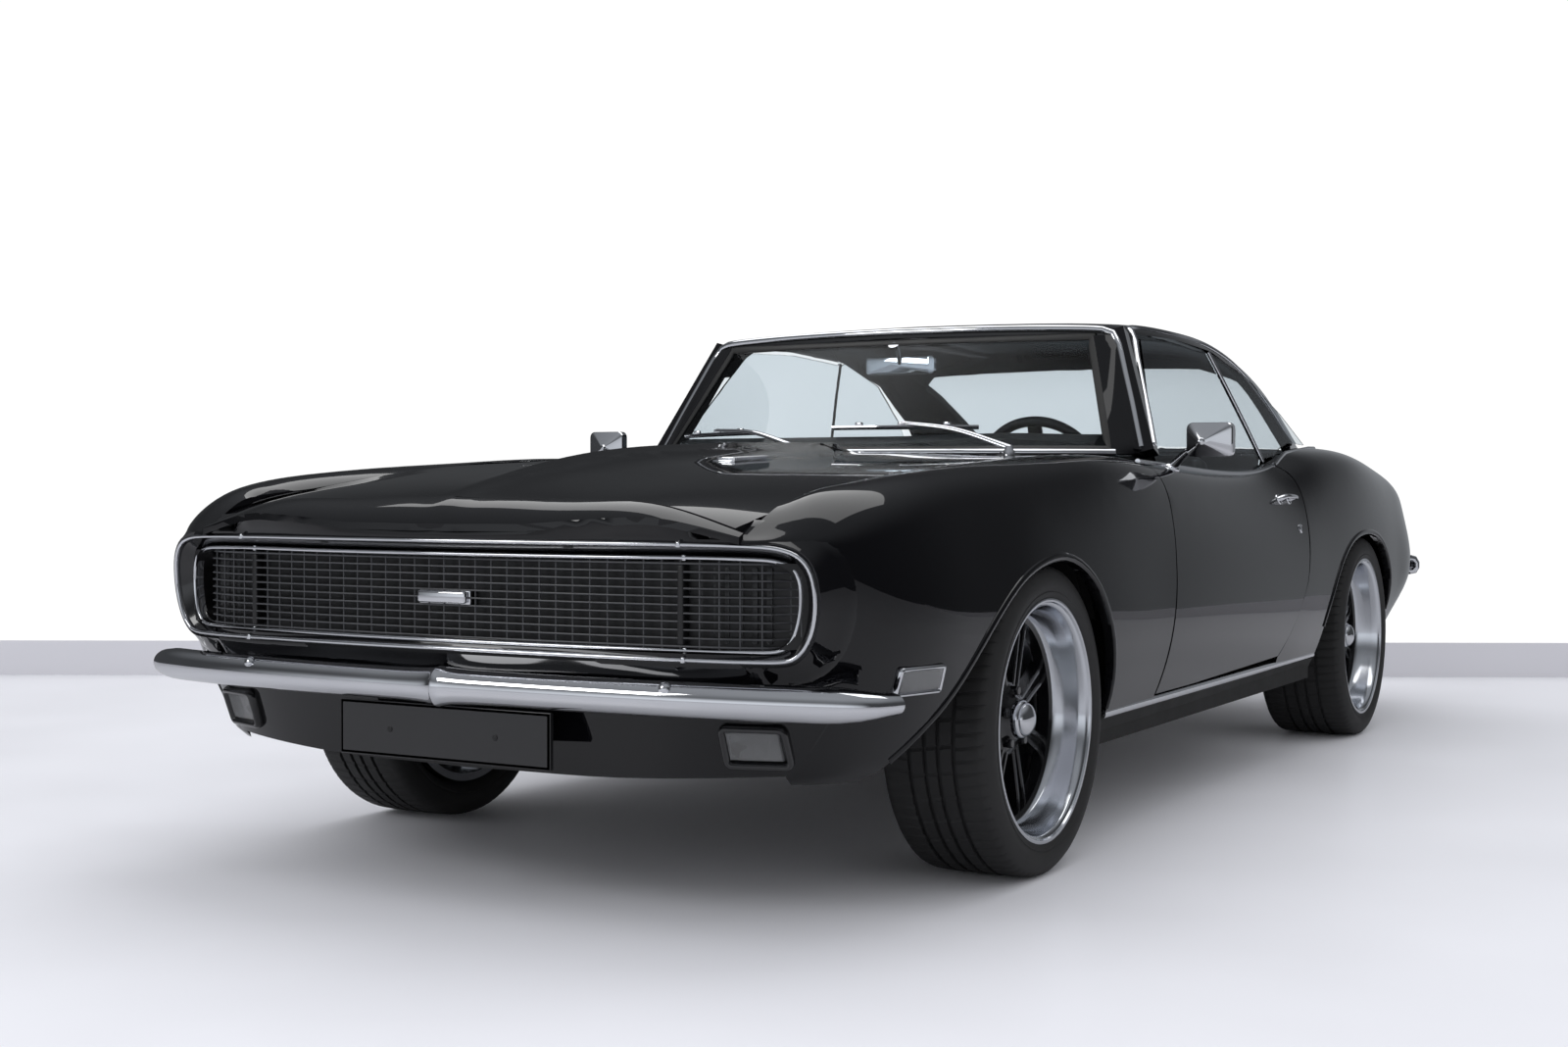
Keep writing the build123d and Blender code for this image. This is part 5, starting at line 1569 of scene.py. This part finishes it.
# ------------------------------------------------------------------ cabin
@dataclass
class Cabin:
    """Seats, inner mirror and dashboard pad.

    Args:
        lean: How far the seat backs lean, in degrees.
        fill: How full the padded seats are; not used.
    """

    lean: float = -14.0
    fill: float = 0.8

    def build(self) -> int:
        """Make the cabin pieces.

        Returns:
            How many seats were made.
        """
        self._front_seats()
        self._rear_seat()
        self._mirror()
        self._dash_pad()
        return 3

    def _dash_pad(self) -> None:
        """Add the padded top of the dashboard with its vents and the instrument hood."""
        mesh = bmesh.new()
        rings = []
        for x in np.linspace(-0.640, 0.640, 33):
            lift = 0.012 * math.exp(-((x - 0.37) / 0.16) ** 2)
            bow = 0.20 * x * x
            rings.append([Vector((x, y + bow * share, z + lift * share)) for y, z, share in
                          ((-0.585, 0.905, 1.0), (-0.575, 0.935, 1.0), (-0.520, 0.953, 0.8),
                           (-0.470, 0.958, 0.5), (-0.420, 0.955, 0.4), (-0.398, 0.944, 0.3),
                           (-0.392, 0.925, 0.2), (-0.400, 0.905, 0.0))])
        swept(mesh, rings)
        new_object("dash_pad", mesh, TRIM, "shell", 45.0)

    def _front_seats(self) -> None:
        """Add both bucket seats with their pleats and bolsters."""
        mesh = bmesh.new()
        lean = Matrix.Rotation(math.radians(self.lean), 4, "X")
        for sign in (1, -1):
            middle = sign * 0.415
            rounded_block(mesh, (middle, 0.055, 0.310), (0.458, 0.488, 0.138), 0.035, 4)
            rounded_block(mesh, (middle, 0.060, 0.265), (0.430, 0.470, 0.050), 0.010, 2)
            for side in (-1, 1):
                rounded_block(mesh, (middle + side * 0.192, 0.050, 0.378), (0.075, 0.470, 0.082), 0.030, 4)
                place = Vector((middle + side * 0.188, 0.372, 0.620)) + lean @ Vector((0, -0.038, 0))
                rounded_block(mesh, place, (0.072, 0.060, 0.480), 0.026, 4, lean)
            for i in range(-2, 3):
                rounded_block(mesh, (middle + i * 0.060, 0.045, 0.386), (0.056, 0.420, 0.040), 0.014, 3)
                place = Vector((middle + i * 0.058, 0.378, 0.630)) + lean @ Vector((0, -0.046, 0))
                rounded_block(mesh, place, (0.054, 0.030, 0.460), 0.012, 3, lean)
            rounded_block(mesh, (middle, 0.383, 0.640), (0.446, 0.094, 0.556), 0.036, 4, lean)
        seats = new_object("bucket_seats", mesh, VINYL, "shell", 50.0)
        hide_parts("front_seats")

    def _rear_seat(self) -> None:
        """Add the rear bench with its pleats."""
        mesh = bmesh.new()
        lean = Matrix.Rotation(math.radians(self.lean), 4, "X")
        rounded_block(mesh, (0, 0.945, 0.480), (1.156, 0.318, 0.118), 0.030, 4)
        rounded_block(mesh, (0, 1.087, 0.690), (1.146, 0.084, 0.356), 0.030, 4, lean)
        for side in (-1, 1):
            for i in range(-3, 4):
                x = side * 0.300 + i * 0.070
                rounded_block(mesh, (x, 0.935, 0.533), (0.066, 0.280, 0.024), 0.010, 3)
                place = Vector((x, 1.085, 0.690)) + lean @ Vector((0, -0.040, 0))
                rounded_block(mesh, place, (0.066, 0.020, 0.300), 0.008, 3, lean)
        bench = new_object("rear_bench", mesh, VINYL, "shell", 50.0)
        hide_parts("rear_seat")

    def _mirror(self) -> None:
        """Add the inner mirror and its stalk."""
        mesh = bmesh.new()
        ring = frame_path((-0.108, 1.134), (0.108, 1.187), 0.014)
        rings = [[Vector((x * s, y, 1.1605 + (z - 1.1605) * s)) for x, z in ring]
                 for y, s in ((-0.331, 0.86), (-0.328, 0.98), (-0.318, 1.0), (-0.3145, 0.97))]
        swept(mesh, rings)
        stalk = resampled([(0, -0.326, 1.165), (0, -0.338, 1.196), (0, -0.352, 1.214),
                           (0, -0.366, 1.2195)], 0.01)
        tube(mesh, stalk, 0.007, 10)
        turned(mesh, [(0.0, 0.0), (0.0, 0.016), (0.005, 0.014), (0.007, 0.0)],
               (0, -0.367, 1.219), (0, 0.6, -0.7), 20)
        mirror = new_object("cabin_mirror", mesh, CHROME, "shell", 40.0)
        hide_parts("inner_mirror")


# ------------------------------------------------------------------ studio
@dataclass(frozen=True)
class Softbox:
    """One soft light.

    Args:
        name: Light name.
        place: Where it stands.
        target: Where it points.
        size: Width and height.
        power: Watts.
    """

    name: str
    place: Point
    target: Point
    size: Pair
    power: float

    def build(self) -> None:
        """Place the light."""
        data = bpy.data.lights.new(self.name, "AREA")
        data.shape = "RECTANGLE"
        data.size, data.size_y = self.size
        data.energy = self.power
        lamp = bpy.data.objects.new(self.name, data)
        lamp.location = self.place
        aim = Vector(self.target) - Vector(self.place)
        lamp.rotation_euler = aim.to_track_quat("-Z", "Y").to_euler()
        bpy.context.scene.collection.objects.link(lamp)


@dataclass
class Studio:
    """Floor, low kerb, backdrop, soft lights and camera.

    Args:
        camera_place: Where the camera stands.
        yaw: Its turn round the vertical, in degrees.
        pitch: How far it looks up.
        roll: Its roll.
        lens: Focal length in millimetres.
        floor_end: How far ahead of the camera the floor meets the kerb.
        floor_half: Half the floor's width and half its length.
        kerb: Height of the kerb.
        backdrop: Strength of the white round the scene.
        room_tint: Colour of the room that polished surfaces show.
        mirror_bounces: Ray depth past which a ray sees that room; the sky counts one bounce more.
        lights: The soft lights.
    """

    camera_place: Point = (2.433, -5.218, 0.818)
    yaw: float = -29.8635
    pitch: float = -1.0523
    roll: float = 0.0947
    lens: float = 44.52
    floor_end: float = 8.43
    floor_half: Pair = (26.0, 15.0)
    kerb: float = 0.149
    backdrop: float = 1.05
    room_tint: Point = (0.90, 0.94, 1.0)
    mirror_bounces: float = 1.5
    lights: Sequence[Softbox] = (
        Softbox("ceiling", (-0.6, 0.3, 4.8), (0.0, 0.2, 0.0), (3.4, 6.0), 95.0),
        Softbox("nose_light", (-2.6, -6.2, 3.4), (0.0, -2.0, 0.6), (2.4, 1.4), 55.0),
    )

    def build(self) -> int:
        """Set up the whole studio.

        Returns:
            How many soft lights it has.
        """
        self._floor()
        self._world()
        for light in self.lights:
            light.build()
        self._camera()
        bpy.context.scene.view_settings.view_transform = "Standard"
        return len(self.lights)

    def _floor(self) -> None:
        """Lay a wide pale floor and the kerb where it ends."""
        turn = Matrix.Rotation(-math.radians(self.yaw), 4, "Z")
        start = Matrix.Translation((self.camera_place[0], self.camera_place[1], 0.0)) @ turn
        mesh = bmesh.new()
        wide, deep = self.floor_half
        lay = (start @ Matrix.Translation((0.0, self.floor_end - deep, 0.0))
               @ Matrix.Diagonal((wide, deep, 1.0, 1.0)))
        bmesh.ops.create_grid(mesh, x_segments=26, y_segments=15, size=1.0, matrix=lay)
        linked("studio_floor", mesh, FLOOR)
        mesh = bmesh.new()
        row = [start @ Vector((wide * t, self.floor_end, 0.0)) for t in np.linspace(-1, 1, 27)]
        rings = [[p + Vector((0, 0, h)) for p in row] for h in (-0.002, 0.05, 0.10, self.kerb)]
        swept(mesh, rings, cyclic=False)
        linked("studio_kerb", mesh, KERB)

    def _world(self) -> None:
        """Light the scene white, with a darker room in the reflections."""
        world = bpy.data.worlds.new("studio")
        bpy.context.scene.world = world
        world.use_nodes = True
        nodes, links = world.node_tree.nodes, world.node_tree.links
        backdrop = nodes["Background"]
        backdrop.inputs["Color"].default_value = (1, 1, 1, 1)
        backdrop.inputs["Strength"].default_value = self.backdrop
        place = nodes.new("ShaderNodeTexCoord")
        parts = nodes.new("ShaderNodeSeparateXYZ")
        links.new(place.outputs["Generated"], parts.inputs["Vector"])

        def ramp(axis: str, low: float, high: float, first: float, last: float):
            """Grade a direction smoothly between two values.

            Args:
                axis: Axis of the direction.
                low: Where the grade starts.
                high: Where it ends.
                first: Value at the start.
                last: Value at the end.

            Returns:
                The graded socket.
            """
            node = nodes.new("ShaderNodeMapRange")
            node.interpolation_type = "SMOOTHSTEP"
            for name, value in (("From Min", low), ("From Max", high), ("To Min", first), ("To Max", last)):
                node.inputs[name].default_value = value
            links.new(parts.outputs[axis], node.inputs["Value"])
            return node.outputs["Result"]

        def joined(operation: str, one, other):
            """Combine two sockets.

            Args:
                operation: Name of the operation.
                one: First socket.
                other: Second socket.

            Returns:
                The combined socket.
            """
            node = nodes.new("ShaderNodeMath")
            node.operation = operation
            links.new(one, node.inputs[0])
            links.new(other, node.inputs[1])
            return node.outputs[0]

        overhead = ramp("Z", 0.35, 0.90, 0.055, 0.30)
        rear = joined("MULTIPLY", ramp("Y", 0.90, 0.985, 0.0, 0.24), ramp("Z", 0.10, 0.50, 1.0, 0.3))
        edge = joined("MULTIPLY", ramp("Y", -0.95, -0.40, 0.75, 0.0), ramp("Z", 0.05, 0.40, 1.0, 0.15))
        room = nodes.new("ShaderNodeBackground")
        room.inputs["Color"].default_value = (*self.room_tint, 1)
        links.new(joined("ADD", joined("ADD", overhead, rear), edge), room.inputs["Strength"])
        path = nodes.new("ShaderNodeLightPath")
        bounces = joined("SUBTRACT", path.outputs["Ray Depth"], path.outputs["Transmission Depth"])
        later = nodes.new("ShaderNodeMath")
        later.operation = "GREATER_THAN"
        later.inputs[1].default_value = self.mirror_bounces
        links.new(bounces, later.inputs[0])
        bent = joined("MAXIMUM", path.outputs["Is Glossy Ray"], path.outputs["Is Transmission Ray"])
        mirrored = joined("MULTIPLY", bent, later.outputs[0])
        mix = nodes.new("ShaderNodeMixShader")
        links.new(mirrored, mix.inputs["Fac"])
        links.new(backdrop.outputs["Background"], mix.inputs[1])
        links.new(room.outputs["Background"], mix.inputs[2])
        links.new(mix.outputs["Shader"], nodes["World Output"].inputs["Surface"])

    def _camera(self) -> None:
        """Place the camera."""
        yaw, pitch, roll = (math.radians(v) for v in (self.yaw, self.pitch, self.roll))
        ahead = Vector((math.sin(yaw) * math.cos(pitch), math.cos(yaw) * math.cos(pitch), math.sin(pitch)))
        right = Vector((math.cos(yaw), -math.sin(yaw), 0.0))
        up = right.cross(ahead)
        turned_right = right * math.cos(roll) + up * math.sin(roll)
        turned_up = up * math.cos(roll) - right * math.sin(roll)
        turn = Matrix((turned_right, turned_up, -ahead)).transposed().to_4x4()
        data = bpy.data.cameras.new("camera")
        data.sensor_fit = "HORIZONTAL"
        data.sensor_width = 36.0
        data.lens = self.lens
        data.clip_end = 200.0
        camera = bpy.data.objects.new("camera", data)
        camera.matrix_world = Matrix.Translation(self.camera_place) @ turn
        bpy.context.scene.collection.objects.link(camera)
        bpy.context.scene.camera = camera


def main() -> None:
    """Build the scene piece by piece."""
    logging.basicConfig(level=logging.INFO, format="%(message)s")
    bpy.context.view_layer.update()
    steps: list[tuple[str, Callable[[], object]]] = [
        ("carried nodes", CarriedNodes().build),
        ("body panels", BodyPanels().build),
        ("bright metal", BrightMetal().build),
        ("nose", Nose().build),
        ("wheels", Wheels().build),
        ("body trim", BodyTrim().build),
        ("cabin", Cabin().build),
        ("studio", Studio().build),
    ]
    for name, build in steps:
        LOG.info("%s: %s", name, build())


if __name__ == "__main__":
    main()
